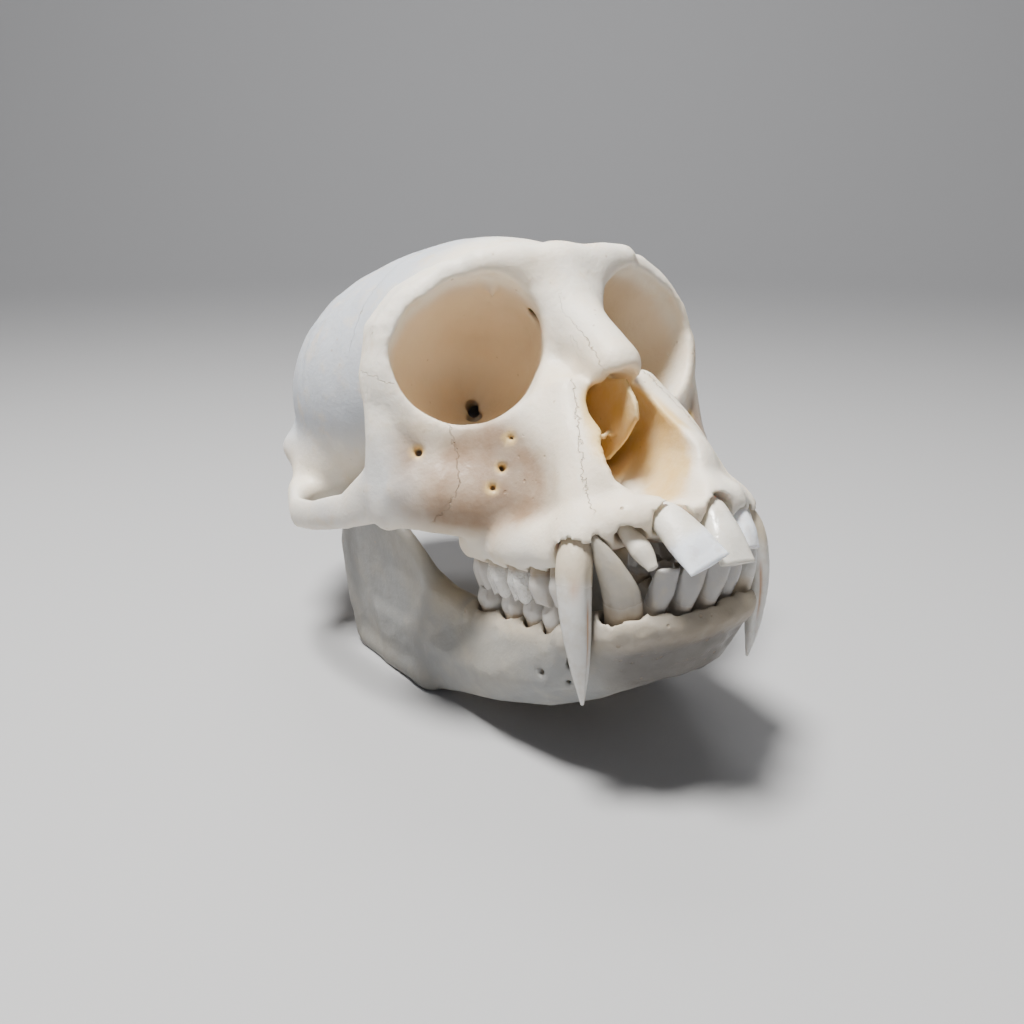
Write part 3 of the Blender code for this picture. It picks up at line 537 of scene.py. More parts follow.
# openings for nerves and vessels: the points, radii and softness of the tubes that cut them
SKULL_OPENINGS = [([(26.9, -18.4, 45.4), (25.4, -15.5, 44.6)], [.75, .5], .5),
                  ([(30.6, -15.8, 52.3), (29.8, -16.5, 49.7), (28.6, -17.2, 47.4), (27.2, -18.0, 45.9)],
                   [.2, .45, .6, .7], .8),
                  ([(16.8, -26.8, 41.8), (15.9, -23.8, 41.3)], [.7, .5], .5),
                  ([(18.7, -26.2, 38.9), (17.8, -24.4, 38.7)], [.5, .4], .6),
                  ([(15.2, -27.6, 46.2), (14.6, -26, 45.8)], [.45, .4], .4),
                  ([(7.3, .8, 48.4), (5.5, 4, 48)], 1.5, .5)]
JAW_OPENINGS = [([(17.6, -32.7, 11.3), (15.6, -31.5, 11)], [.6, .4], .5),
                ([(15.2, -36.6, 9.9), (13.4, -35, 9.8)], [.5, .35], .5)]
# bone over the teeth's roots, and a spur under the brow
UPPER_RIM = [([(3.8, -44.6, 36.6), (4.3, -47.6, 34.9)], [3, 2.9], 1.5),
             ([(8.4, -43.8, 35.4), (9.2, -45.6, 33.4)], [2.2, 2.2], 1.5),
             ([(15.7, -37.5, 29.6), (16.2, -30, 28.9), (16.4, -14, 28.8)], [2.4, 2.7, 2.7], 1.5)]
LOWER_RIM = [([(0, -47.2, 18.4), (5.4, -47.2, 18.7), (9.6, -46.4, 19), (12.4, -42.8, 18.9), (14, -37, 17.6)],
              [2.2, 2.2, 2.7, 2.5, 2.2], 2)]
BROW_SPUR = [([(10.9, -17.4, 71.4), (10.7, -16.9, 69.4), (10.3, -16.6, 67.8)], [1.3, .8, .25], .8)]
# middles of the openings in the right cheek and at the back of the right orbit, lined in amber as painted
# light shining through the thin bone round them
OPENING_MIDDLES = [(-26.6, -17.5, 45.2), (-16.4, -25.2, 41.6), (-18.4, -25.2, 38.8), (-15, -26.6, 46),
                   (-6.8, 1.4, 48.3)]

# the nose's broken edge, which is wider on the right, the room and hollow behind it, and the passage from
# them to the palate, which is lined in amber as painted light shining through its thin bone
NOSE_EDGE = [(.2, 54.7), (-1.4, 54.1), (-2.6, 54.3), (-3.5, 52.6), (-3.9, 51.6), (-4.8, 49.2), (-6.2, 46.8),
             (-8.0, 44.4), (-8.9, 42.1), (-8.8, 39.8), (-7.9, 38.7), (-6.8, 37.6), (-4.2, 36.9), (-1.1, 35.6),
             (1.2, 35.9), (2.6, 37.6), (4.2, 40), (5.1, 42), (5.2, 45), (4.7, 48), (4.1, 50.6), (2.3, 53.4)]
NOSE_ROOM = Ellipsoid((0, -29, 46), (6.8, 10.5, 6.6), -12)
NOSE_CUTS = [(Outline(NOSE_EDGE, -54, -35), 1), (Ellipsoid((-.8, -33.5, 45), (6.6, 9.5, 7.6), -14), 1)]
NOSE_PASSAGE = Tube([(-1.2, -41, 43), (-.8, -34, 45.5), (0, -20, 45), (0, -6, 42), (0, 3, 34)],
                    [7.4, 7, 6.4, 6, 6])

# thin bones inside the nose: the upright plate between its halves, and a curled one on the right
NOSE_SHEETS = [(Sheet([[(.4, -35.6, 52.8), (.3, -37.8, 49.6), (.3, -38, 47.4), (.5, -34, 44), (.6, -29, 41)],
                       [(0, -22, 54), (0, -20, 48), (0, -18, 46), (0, -18, 43), (0, -16, 39)]], .36), 1),
               (Tube([(-6.4, -31, 48), (-4.8, -33, 45.6), (-2.8, -33, 44.8), (-.3, -31, 45.2)],
                     [.5, .45, .5, .4]), .5)]

# places on the right half with their weight, centre and radii: rough, brown, painted shade and pitted ones
ROUGH_BROW = [(1, (-28, -13, 64), (9, 10, 16)), (1, (-27, -20, 40), (6, 5, 6))]
FRONT_ENDS = [(1, (-11, -46, 34), (8, 6, 4))]
CHIN = [(1, (-3, -46, 12), (16, 12, 11))]
BEHIND_TEETH = [(1, (-18, -6, 19), (6, 8, 6))]
CHEEK_STAIN = [(3, (-19.5, -25, 40.5), (12, 12, 13)), (1.2, (-26, -18.5, 38), (8, 8, 8)),
               (1, (-14, -32, 37), (6, 7, 10)), (1, (-28, -17, 45), (5, 5, 7))]
# the orbit's brown is partly stain and partly painted shade under the brow
ORBIT_STAIN_AND_SHADE = [(2, (-9, -14, 67), (17, 18, 15))]
# cool grey painted shade under the cheek and along the arch
CHEEK_SHADE_PLACES = [(.8, (-30, -11, 41), (9, 18, 11)), (.6, (-34, 6, 36), (8, 16, 8))]
PORE_PLACES = [(1, (-11, -46.5, 36), (7, 5, 4)), (.8, (-29, -13, 64), (6, 7, 14)),
               (.5, (-16, -30, 42), (9, 12, 10))]
# rounds of smoothing that a hollow is measured against, and the depth in millimetres of a full one
HOLLOW_ROUNDS = 6
HOLLOW_DEPTH = .35
# distance in millimetres to the nearest seam on a bone that has none
NO_SEAM = 9.0


def noise(points, size, seed):
    """Smooth noise from -1 to 1 that changes over about size millimetres."""
    lattice = np.random.default_rng(seed).uniform(-1, 1, (NOISE_CELLS,) * 3)
    at = np.asarray(points) / size
    low = np.floor(at).astype(int)
    t = at - low
    t = t * t * (3 - 2 * t)
    total = np.zeros(len(at))
    for corner in np.ndindex(2, 2, 2):
        weight = np.prod([t[:, i] if corner[i] else 1 - t[:, i] for i in range(3)], 0)
        i, j, k = ((low + corner) % NOISE_CELLS).T
        total += weight * lattice[i, j, k]
    return total


def ball(points, centre, radius):
    """1 at the centre, falling smoothly to 0 at the radius, which may be one number or three."""
    gap = np.sqrt((((points - np.array(centre)) / radius) ** 2).sum(1))
    t = np.clip(1 - gap, 0, 1)
    return t * t * (3 - 2 * t)


def balls(points, places):
    """Sum of balls, one for each place's weight, centre and radii."""
    return sum(weight * ball(points, centre, radii) for weight, centre, radii in places)


def step_up(value, low, high):
    t = np.clip((value - low) / (high - low), 0, 1)
    return t * t * (3 - 2 * t)


def line_side(points, normals, line):
    """Signed distance to a line on the surface, and 1 along it, fading past its ends."""
    best = np.full(len(points), 1e3)
    side = np.ones(len(points))
    share = np.zeros(len(points))
    line = np.array(line, float)
    lengths = np.r_[0, np.cumsum(np.linalg.norm(np.diff(line, axis=0), axis=1))]
    for k in range(len(line) - 1):
        e = line[k + 1] - line[k]
        v = points - line[k]
        h = np.clip(v @ e / (e @ e), 0, 1)
        off = v - h[:, None] * e
        gap = np.linalg.norm(off, axis=1)
        near = gap < best
        best = np.where(near, gap, best)
        turned = (np.cross(e, normals) * off).sum(1)
        side = np.where(near, np.sign(turned), side)
        share = np.where(near, (lengths[k] + h * (lengths[k + 1] - lengths[k])) / lengths[-1], share)
    ends = step_up(share, *FADE_IN) * (1 - step_up(share, *FADE_OUT))
    return side * best, ends * (best < LINE_REACH)


def add_object(name, data):
    item = bpy.data.objects.new(name, data)
    bpy.context.scene.collection.objects.link(item)
    return item


def bone_object(name, grid, one_sided=(), added=()):
    """Fine mesh of a bone. One-sided forms are cut, and others added, once both halves have met."""
    value, corner = grid.whole()
    both = Grid(corner, corner + grid.step * (np.array(value.shape) - 1.01), grid.step)
    both.value = value
    for form, soft in one_sided:
        both.cut(form, soft)
    for form, soft in added:
        both.join(form, soft)
    volume = openvdb.FloatGrid(FAR)
    volume.copyFromArray(both.value)
    points, triangles, quads = volume.convertToPolygons(0.0, 0.0)
    faces = [tuple(int(i) for i in f) for f in quads] + [tuple(int(i) for i in f) for f in triangles]
    mesh = bpy.data.meshes.new(name)
    mesh.from_pydata((points * grid.step + corner).tolist(), [], faces)
    keep_largest_body(mesh)
    return add_object(name, mesh)


def keep_largest_body(mesh):
    """Drops the crumbs left between neighbouring sockets."""
    work = bmesh.new()
    work.from_mesh(mesh)
    left, bodies = set(work.verts), []
    while left:
        body, border = [], [left.pop()]
        while border:
            body.append(border.pop())
            for edge in body[-1].link_edges:
                other = edge.other_vert(body[-1])
                if other in left:
                    left.remove(other)
                    border.append(other)
        bodies.append(body)
    bodies.sort(key=len)
    bmesh.ops.delete(work, geom=[v for body in bodies[:-1] for v in body], context="VERTS")
    work.to_mesh(mesh)
    work.free()


def vectors(items, key):
    flat = np.empty(len(items) * 3, np.float32)
    items.foreach_get(key, flat)
    return flat.reshape(-1, 3).astype(float)


def points_of(mesh):
    return vectors(mesh.vertices, "co")


def normals_of(mesh):
    return vectors(mesh.vertex_normals, "vector")


def hollowness(mesh):
    """1 in full hollows, -1 on full ridges: how far each point lies below the smoothed surface."""
    points, normals = points_of(mesh), normals_of(mesh)
    pairs = np.empty(len(mesh.edges) * 2, np.int32)
    mesh.edges.foreach_get("vertices", pairs)
    a, b = pairs.reshape(-1, 2).T
    count = np.bincount(np.r_[a, b], minlength=len(points))[:, None]

    def mean(values):
        total = np.stack([np.bincount(np.r_[a, b], np.r_[values[b, i], values[a, i]], len(points))
                          for i in range(values.shape[1])], 1)
        return total / np.maximum(count, 1)

    smooth = points
    for _ in range(HOLLOW_ROUNDS):
        smooth = mean(smooth)
    return np.clip(((smooth - points) * normals).sum(1) * 1000 / HOLLOW_DEPTH, -1, 1)


def add_mask(mesh, name, columns):
    """Stores up to three values a point for the material."""
    columns = list(columns) + [np.zeros(len(mesh.vertices))] * (3 - len(columns))
    layer = mesh.attributes.new(name, "FLOAT_VECTOR", "POINT")
    layer.data.foreach_set("vector", np.stack(columns, 1).astype(np.float32).ravel())


def put_in_frame(item, points, on_floor=False):
    points = placed(points)
    if on_floor:
        points[:, 2] = np.maximum(points[:, 2], 0)
    item.data.vertices.foreach_set("co", points.astype(np.float32).ravel())
    item.data.update()
    item.data.shade_smooth()


def placed(points):
    """From millimetres in the skull's own frame to metres in the part's."""
    c, s = np.cos(np.radians(PITCH)), np.sin(np.radians(PITCH))
    x, y, z = np.array(points, float).T
    return (np.stack([x, c * y + s * z, c * z - s * y], 1) - ORIGIN) * 0.001


def thin_out(item, triangles):
    count = sum(len(face.vertices) - 2 for face in item.data.polygons)
    if count > triangles:
        thin = item.modifiers.new("thin_out", "DECIMATE")
        thin.ratio = triangles / count
        thin.use_collapse_triangulate = True
        done = bpy.data.meshes.new_from_object(item.evaluated_get(bpy.context.evaluated_depsgraph_get()))
        item.modifiers.clear()
        item.data = done


def mirrored(points, values):
    """The values, with x turned round where the points lie on the left."""
    return values * np.where(points[:, :1] > 0, (-1, 1, 1), (1, 1, 1))


def cut_tubes(grid, tubes):
    for points, radii, soft in tubes:
        grid.cut(Tube(points, radii), soft)


def join_tubes(grid, tubes):
    for points, radii, soft in tubes:
        grid.join(Tube(points, radii), soft)


def skull_roughness(points, right):
    rough = .07 * noise(points, 6, 1) + .04 * noise(points, 2.2, 2)
    rough += .1 * np.clip(balls(right, ROUGH_BROW), 0, 1) * noise(points, 1.1, 3)
    rough += .2 * balls(right, FRONT_ENDS) * noise(points, 1.4, 4)
    # shallow streaks that run up the braincase
    crown = step_up(points[:, 1], 0, 6) * step_up(points[:, 2], 50, 58)
    return rough + .09 * crown * noise(points * (.5, 1, .16), 1.6, 6)


def fine_cranium():
    """The cranium, its points before roughness as they are and mirrored to the right, and its sutures."""
    grid = cranium(FINE)
    join_tubes(grid, UPPER_RIM)
    cut_sockets(grid, "upper")
    cut_tubes(grid, SKULL_OPENINGS)
    grid.cut(NOSE_ROOM, 1)
    join_tubes(grid, BROW_SPUR)
    item = bone_object("bone_cranium", grid, NOSE_CUTS, NOSE_SHEETS)
    points, normals = points_of(item.data), normals_of(item.data)
    right, turned = mirrored(points, points), mirrored(points, normals)
    rough = skull_roughness(points, right)
    lines = [line_side(right, turned, line) for line in SUTURES]
    nearest = np.argmin([np.abs(s) + NO_SEAM * (1 - m) for s, m in lines], 0)
    side = np.choose(nearest, [s for s, m in lines])
    along = np.choose(nearest, [m for s, m in lines])
    wander = side + .35 * noise(points, 1.3, 5)
    rough -= .08 * along * np.exp(-(wander / .4) ** 2)
    for line in (TEMPORAL_LINE, LOWER_LINE):
        s, m = line_side(right, turned, line)
        rough += .14 * m * np.exp(-(s / .9) ** 2)
    put_in_frame(item, points + normals * rough[:, None])
    return item, points, right, side, along


def orbit_mask(points, right):
    """1 inside the orbits, behind their rims."""
    offset = right * (-1, 1, 1) - ORBIT
    depth = offset @ -ORBIT_OUT
    across = np.hypot(offset @ ORBIT_SIDE, offset @ ORBIT_UP)
    reach = np.linalg.norm(offset - (ORBIT_APEX - ORBIT) * .35, axis=1)
    near = (across < 13.5) * (reach < 24) * (points[:, 1] < 10) * (np.abs(points[:, 0]) > 1)
    return step_up(depth, .3, 4) * near


def amber_glow_through_mask(points, right):
    """1 inside the nose and round the small openings, where amber is painted as light shining through thin
    bone.
    """
    x, y, z = points.T
    amber = 1 - step_up(NOSE_PASSAGE.distance(x, y, z), .6, 2)
    amber = amber * step_up(y + 47.6 - (z - 36) * .6, .1, 1.6)
    for centre in OPENING_MIDDLES:
        amber = np.maximum(amber, .9 * np.minimum(2 * ball(right, centre, 1.7), 1))
    return amber


def stain_and_shade_mask(points, right, in_orbit):
    """How brown the bone is: stained on the cheek, stained and painted with shade under the brow, and painted
    with shade on the palate.
    """
    x, y, z = points.T
    stain_and_shade = np.minimum(balls(right, CHEEK_STAIN), 1.2) * (.88 + .18 * noise(points * (1, 1, .6), 4, 31))
    # brown in the orbit's upper part under the brow: partly stain, partly painted shade
    stain_and_shade += .75 * in_orbit * np.minimum(balls(right, ORBIT_STAIN_AND_SHADE), 1)
    # painted shade on the palate and the inner walls of the tooth row, inside the mouth
    palate = (np.abs(x) < 13) * (y < -4) * (y > -45.5) * (1 - step_up(z + .08 * np.abs(y + 20), 32.5, 34.5))
    return np.clip(np.maximum(stain_and_shade, palate), 0, 1)


def bone_masks(item, points, right, side, along):
    in_orbit = orbit_mask(points, right)
    add_mask(item.data, "tints", [stain_and_shade_mask(points, right, in_orbit), in_orbit, amber_glow_through_mask(points, right)])
    # cool grey on the upper back of the braincase, and cool grey painted shade under the cheek and arch
    cool_and_shade = step_up(points[:, 1], -8, 4) * step_up(points[:, 2], 40, 52) + balls(right, CHEEK_SHADE_PLACES)
    pores = balls(right, PORE_PLACES)
    # hollows are darkened as painted shade, less so in the orbits
    hollow = hollowness(item.data) * (1 - .8 * in_orbit)
    add_mask(item.data, "tone_pits_and_shade", [np.clip(cool_and_shade, 0, 1), np.clip(pores, 0, 1), hollow])
    add_mask(item.data, "seams", [side, along])


def fine_mandible(above):
    grid = mandible(FINE, above)
    join_tubes(grid, LOWER_RIM)
    cut_sockets(grid, "lower")
    cut_tubes(grid, JAW_OPENINGS)
    item = bone_object("bone_mandible", grid)
    points, normals = points_of(item.data), normals_of(item.data)
    right = mirrored(points, points)
    rough = .06 * noise(points, 5, 11) + .04 * noise(points, 2, 12)
    chin = balls(right, CHIN)
    # wrinkles of the chin, rough rim of the sockets, and the ridge on the jaw's side
    rough += .4 * chin * noise(points * (.35, 1, 1.9), 2.2, 13)
    edge = step_up(points[:, 2], 14.5, 17.5) * (points[:, 1] < -12)
    rough += .22 * edge * noise(points, 1.2, 14)
    s, m = line_side(right, normals, JAW_LINE)
    rough += .12 * m * np.exp(-(s / 1.2) ** 2)
    put_in_frame(item, points + normals * rough[:, None], on_floor=True)
    behind = balls(right, BEHIND_TEETH)
    # painted shade: the chin and the back of the jaw are darkened
    dark = np.clip(1.8 * chin + .4 * step_up(points[:, 1], -8, 2), 0, 1)
    none = np.zeros(len(points))
    add_mask(item.data, "tints", [dark, .3 * edge * (1 - behind), .4 * behind])
    # the third value darkens the jaw's hollows as painted shade
    add_mask(item.data, "tone_pits_and_shade", [none, .5 * chin + .3 * edge, hollowness(item.data)])
    add_mask(item.data, "seams", [np.full(len(points), NO_SEAM), none])
    return item


# points along a tooth's path in the fine loft, and rounds of smoothing
ROUND_POINTS = 25
ROUND_TIMES = 5
# points round the fine loft and along it, and the share of its length where the crown starts
TOOTH_SIDES, TOOTH_RINGS = 32, 33
CHEEK_NECK, FRONT_NECK = .42, .45


def rounded(form):
    """The same tooth with more points along its path and no sharp steps between its widths."""
    path, along, across, way = form
    rows = np.c_[np.array(path, float), along, across]
    at = np.linspace(0, len(rows) - 1, ROUND_POINTS)
    rows = np.stack([np.interp(at, range(len(rows)), column) for column in rows.T], 1)
    for _ in range(ROUND_TIMES):
        rows[1:-1] = (rows[:-2] + 2 * rows[1:-1] + rows[2:]) / 4
    return rows[:, :3], rows[:, 3], rows[:, 4], way


def fine_tooth(name, form):
    """Loft with a crown that swells from the neck, and cusps on the chewing face of a cheek tooth."""
    path, along, across, way = rounded(form)
    cheek, molar = name[-2] in "mp", name[-2] == "m"
    dip = CUSP_DIP if cheek else -TIP_RISE
    points, faces = tooth_mesh(path, along, across, way, TOOTH_SIDES, TOOTH_RINGS, dip)
    mesh = bpy.data.meshes.new(name)
    mesh.from_pydata(points.tolist(), [], faces)
    item = add_object("tooth_" + name, mesh)
    # each point's share of the length and turn round the tooth; the two end points come last
    height = np.r_[np.repeat(np.linspace(0, 1, TOOTH_RINGS), TOOTH_SIDES), 0, 1]
    turn = np.r_[np.tile(np.linspace(0, 2 * np.pi, TOOTH_SIDES, endpoint=False), TOOTH_RINGS), 0, 0]
    normals = normals_of(mesh)
    move = .05 * noise(points + 40, 1.5, 21)
    if cheek:
        top = step_up(height, .72, .95)
        top[-2:] = 0
        cusp = np.cos(turn * 4 + np.pi) if molar else np.cos(turn * 2)
        tip = np.array(path[-1]) - np.array(path[-2])
        tip /= np.linalg.norm(tip)
        points = points + tip * (top * (.1 + .5 * np.clip(cusp, -.6, 1)))[:, None]
    if molar:
        waist = np.abs(np.cos(turn)) < .25
        move = move - .28 * waist * step_up(height, .35, .6) * (1 - .5 * top)
    crack = np.zeros(len(points))
    if "upper_canine" in name:
        # groove down the front, with a crack in it and a chipped patch beside it
        front = np.exp(-((turn - np.pi) / .22) ** 2)
        move = move - .3 * front * step_up(height, .3, .45) * (1 - step_up(height, .8, .97))
        crack = np.exp(-((turn - np.pi) / .13) ** 2)
        crack = crack * step_up(height, .5, .56) * (1 - step_up(height, .68, .8))
        patch = np.exp(-((turn - 1.3 * np.pi) / .3) ** 2 - ((height - .47) / .03) ** 2)
        crack = np.maximum(crack, .6 * patch)
    put_in_frame(item, points + normals * move[:, None])
    neck = CHEEK_NECK if cheek else FRONT_NECK
    crown = step_up(height + .02 * noise(points, 1.2, 22), neck - .03, neck + .03)
    if name.startswith("right_upper_i"):
        crown = step_up(height + .04 * noise(points, 1.5, 22), .58, .72)
    dirt = (.7 if cheek else .12) * np.exp(-((height - neck) / .07) ** 2)
    add_mask(mesh, "tooth", [crown, dirt, crack])
    return item


class Nodes:
    """Short ways to add and join shader nodes."""

    def __init__(self, material):
        self.material = material
        material.use_nodes = True
        self.tree = material.node_tree
        self.shader = self.tree.nodes["Principled BSDF"]
        place = self.tree.nodes.new("ShaderNodeTexCoord")
        self.place = place.outputs["Object"]

    def put(self, value, socket):
        if isinstance(value, bpy.types.NodeSocket):
            self.tree.links.new(value, socket)
        else:
            socket.default_value = value

    def texture(self, kind, output, **values):
        node = self.tree.nodes.new(kind)
        self.tree.links.new(self.place, node.inputs["Vector"])
        for key, value in values.items():
            node.inputs[key].default_value = value
        return node.outputs[output]

    def noise(self, size_mm, detail=4, rough=.55):
        scale = 1000 / size_mm
        return self.texture("ShaderNodeTexNoise", "Fac", Scale=scale, Detail=detail, Roughness=rough)

    def cells(self, size_mm):
        return self.texture("ShaderNodeTexVoronoi", "Distance", Scale=1000 / size_mm)

    def mask(self, name):
        node = self.tree.nodes.new("ShaderNodeAttribute")
        node.attribute_name = name
        split = self.tree.nodes.new("ShaderNodeSeparateXYZ")
        self.tree.links.new(node.outputs["Vector"], split.inputs[0])
        return split.outputs

    def math(self, kind, a, b=0.0):
        node = self.tree.nodes.new("ShaderNodeMath")
        node.operation = kind
        for value, socket in zip((a, b), node.inputs):
            self.put(value, socket)
        return node.outputs[0]

    def times(self, a, b):
        return self.math("MULTIPLY", a, b)

    def ramp(self, value, low, high, start=0.0, end=1.0):
        node = self.tree.nodes.new("ShaderNodeMapRange")
        node.interpolation_type = "SMOOTHSTEP"
        keys = ("Value", "From Min", "From Max", "To Min", "To Max")
        for key, v in zip(keys, (value, low, high, start, end)):
            self.put(v, node.inputs[key])
        return node.outputs[0]

    def mix(self, share, a, b):
        node = self.tree.nodes.new("ShaderNodeMix")
        node.data_type = "RGBA"
        self.put(share, node.inputs[0])
        for value, socket in ((a, node.inputs[6]), (b, node.inputs[7])):
            self.put(value if isinstance(value, bpy.types.NodeSocket) else (*value, 1), socket)
        return node.outputs[2]

    def bump(self, height, depth_mm, below=None):
        node = self.tree.nodes.new("ShaderNodeBump")
        node.inputs["Strength"].default_value = 1
        node.inputs["Distance"].default_value = depth_mm / 1000
        self.put(height, node.inputs["Height"])
        if below is not None:
            self.tree.links.new(below, node.inputs["Normal"])
        return node.outputs[0]

    def surface(self, colour, roughness, normal, glow, glow_radius, glow_mm, ior):
        """Fills the shader. Glow is the share of light that spreads below the surface."""
        values = {"Base Color": colour, "Roughness": roughness, "Normal": normal, "IOR": ior,
                  "Subsurface Weight": glow, "Subsurface Radius": glow_radius,
                  "Subsurface Scale": glow_mm / 1000}
        for key, value in values.items():
            self.put(value, self.shader.inputs[key])


# colours of the cranium, of its stains and seams, where the cool grey and the tan are partly painted shade,
# the hollows' dark is painted shade and the amber is painted light through thin bone, and of the jaw, painted
# darker for shade
IVORY, PALE, COOL_GREY_AND_SHADE, WARM = (.84, .735, .585), (.82, .77, .68), (.49, .52, .57), (.76, .61, .41)
TAN, OCHRE, AMBER = (.27, .165, .095), (.76, .58, .36), (.72, .50, .20)
SEAM, PORE, HOLLOW_SHADE = (.40, .30, .20), (.38, .26, .16), (.45, .36, .26)
JAW_GREY_SHADED, JAW_WARM_SHADED, JAW_SHADE = (.28, .285, .28), (.33, .31, .27), (.13, .12, .11)
# colours that the teeth share: blots on all of them, dirt at their necks and the canines' cracks
BLOT, NECK_DIRT, CRACK = (.50, .42, .31), (.42, .32, .22), (.50, .24, .09)
# how light spreads below bone and enamel: share, reach of red, green and blue, depth in millimetres,
# then the index of refraction
BONE_GLOW = (.12, (1, .6, .35), 1.5, 1.45)
ENAMEL_GLOW = (.2, (1, .8, .6), 1, 1.6)
# each kind of tooth, by a part of its name: its material, the colours of its crown and root, and its crust's
# depth in millimetres
TOOTH_LOOKS = {"right_lower_canine": ("lower_canine_enamel", (.36, .33, .28), (.36, .30, .23), .06),
               # the right first and second upper molars have whiter crowns: a pale crust, and painted glints
               "right_upper_m1": ("crust_and_painted_glint_enamel", (.82, .80, .76), (.52, .45, .35), .5),
               "right_upper_m2": ("crust_and_painted_glint_enamel_behind", (.74, .72, .68), (.50, .43, .33), .35),
               "canine": ("canine_enamel", (.70, .69, .66), (.60, .52, .40), .06),
               "cheek": ("cheek_enamel", (.56, .53, .49), (.46, .38, .28), .06),
               "right_upper_i2": ("peg_incisor", (.70, .65, .56), (.78, .72, .62), .06),
               "left_upper_i1": ("loose_incisor", (.74, .71, .64), (.78, .73, .64), .06),
               "upper_i": ("incisor_enamel", (.89, .93, 1), (.80, .76, .68), .06),
               "lower_i": ("lower_incisor_enamel", (.36, .35, .34), (.34, .30, .26), .06)}


def bone_material(name, light, tint, dark, warm):
    """Bone that mixes two colours, with the dark one where the mask stains it and where it paints shade on
    it, and a share of warm blots.
    """
    n = Nodes(bpy.data.materials.new(name))
    stain_and_shade, socket, nose = n.mask("tints")
    cool_and_shade, pores, hollow = n.mask("tone_pits_and_shade")
    side, along, _ = n.mask("seams")
    broad, middle, fine = n.noise(22, 3), n.noise(5, 5, .6), n.noise(.9, 4, .6)
    colour = n.mix(n.ramp(broad, .35, .65), light, tint)
    # cool grey: the braincase's own tone, and painted shade under the cheek and along the arch
    colour = n.mix(n.times(cool_and_shade, .95), colour, COOL_GREY_AND_SHADE)
    colour = n.mix(n.ramp(middle, .5, .75, 0, warm), colour, WARM)
    # dark where the first tint says: a stain on the cheek, painted shade in the mouth and under the brow, and
    # on the jaw painted shade at the chin and back
    colour = n.mix(n.times(n.ramp(middle, .3, .65, .84, 1), n.times(stain_and_shade, .92)), colour, dark)
    colour = n.mix(n.times(socket, n.ramp(broad, .3, .7, .5, .8)), colour, OCHRE)
    # amber: on the cranium, painted light shining through thin bone in the nose and round the small openings
    colour = n.mix(n.times(nose, n.ramp(middle, .3, .7, .75, 1)), colour, AMBER)
    # painted shade: darker in the hollows
    colour = n.mix(n.ramp(hollow, .15, .9, 0, .45), colour, HOLLOW_SHADE)
    wander = n.math("ADD", side, n.ramp(n.noise(1.1, 3), .25, .75, -.45, .45))
    seam = n.times(along, n.ramp(n.math("ABSOLUTE", wander), .02, .14, 1, 0))
    colour = n.mix(n.times(seam, n.ramp(middle, .35, .6, .12, .5)), colour, SEAM)
    pit = n.times(n.ramp(n.cells(1.35), .12, .26, 1, 0), n.ramp(n.noise(2.5, 2), .5, .62))
    pit = n.times(pit, pores)
    colour = n.mix(n.times(pit, .7), colour, PORE)
    speck = n.times(n.ramp(n.cells(2.6), .06, .12, 1, 0), n.ramp(n.noise(6, 2), .52, .6))
    colour = n.mix(n.times(speck, .45), colour, PORE)
    below = n.bump(n.math("ADD", middle, n.times(fine, .35)), .22)
    below = n.bump(n.times(seam, -1), .25, below)
    below = n.bump(n.times(pit, -1), .3, below)
    n.surface(colour, n.ramp(n.noise(3, 4), .3, .7, .42, .62), below, *BONE_GLOW)
    return n.material


def tooth_material(name, crown_colour, root_colour, crust):
    """Enamel over a duller root. Crust is the depth of its roughness in millimetres."""
    n = Nodes(bpy.data.materials.new(name))
    crown, dirt, crack = n.mask("tooth")
    middle, fine = n.noise(2.5, 4), n.noise(.6, 3)
    colour = n.mix(crown, root_colour, crown_colour)
    colour = n.mix(n.ramp(middle, .45, .75, 0, .4), colour, BLOT)
    colour = n.mix(n.times(dirt, n.ramp(middle, .35, .6, .3, 1)), colour, NECK_DIRT)
    colour = n.mix(n.times(crack, .8), colour, CRACK)
    below = n.bump(n.math("ADD", middle, fine), crust)
    n.surface(colour, n.ramp(crown, 0, 1, .5, .22), below, *ENAMEL_GLOW)
    return n.material


# camera at the photo's angle: place in metres, turns in degrees, lens and sensor in millimetres, and the
# distances in metres between which it sees
CAMERA_PLACE = (-0.0811, -0.14579, 0.084135)
CAMERA_TURN = (71.453, -0.032, -29.034)
CAMERA_LENS, CAMERA_SENSOR = 32.737, 36
CAMERA_NEAR, CAMERA_FAR = .005, 10
# the floor's colour, its flat radius, the radius of its bend and its wall's height in metres
FLOOR_COLOUR, FLOOR_ROUGHNESS = (.40, .40, .41), .7
FLOOR_FLAT, FLOOR_BEND, FLOOR_HEIGHT = .9, .7, 1.3
FLOOR_SIDES, FLOOR_BENDS = 96, 16
# the lights' names, places, targets and sizes in metres, watts and colours
SKULL_MIDDLE = (0, -.01, .045)
LIGHTS = [("key", (-.12, -.02, .5), SKULL_MIDDLE, .14, 7, (1, .985, .95)),
          ("front_fill", (-.36, -.5, .4), SKULL_MIDDLE, .35, .4, (.95, .97, 1)),
          ("side_fill", (.5, -.2, .3), SKULL_MIDDLE, .4, .25, (1, .98, .95)),
          ("wall_light", (.45, .8, 1.5), (.75, 1.35, .2), .9, 14, (1, 1, 1))]
WORLD_COLOUR, WORLD_STRENGTH = (.93, .95, 1), .09


def add_camera():
    camera = add_object("camera", bpy.data.cameras.new("camera"))
    camera.location = CAMERA_PLACE
    camera.rotation_euler = np.radians(CAMERA_TURN)
    camera.data.lens = CAMERA_LENS
    camera.data.sensor_width = CAMERA_SENSOR
    camera.data.clip_start, camera.data.clip_end = CAMERA_NEAR, CAMERA_FAR
    bpy.context.scene.camera = camera


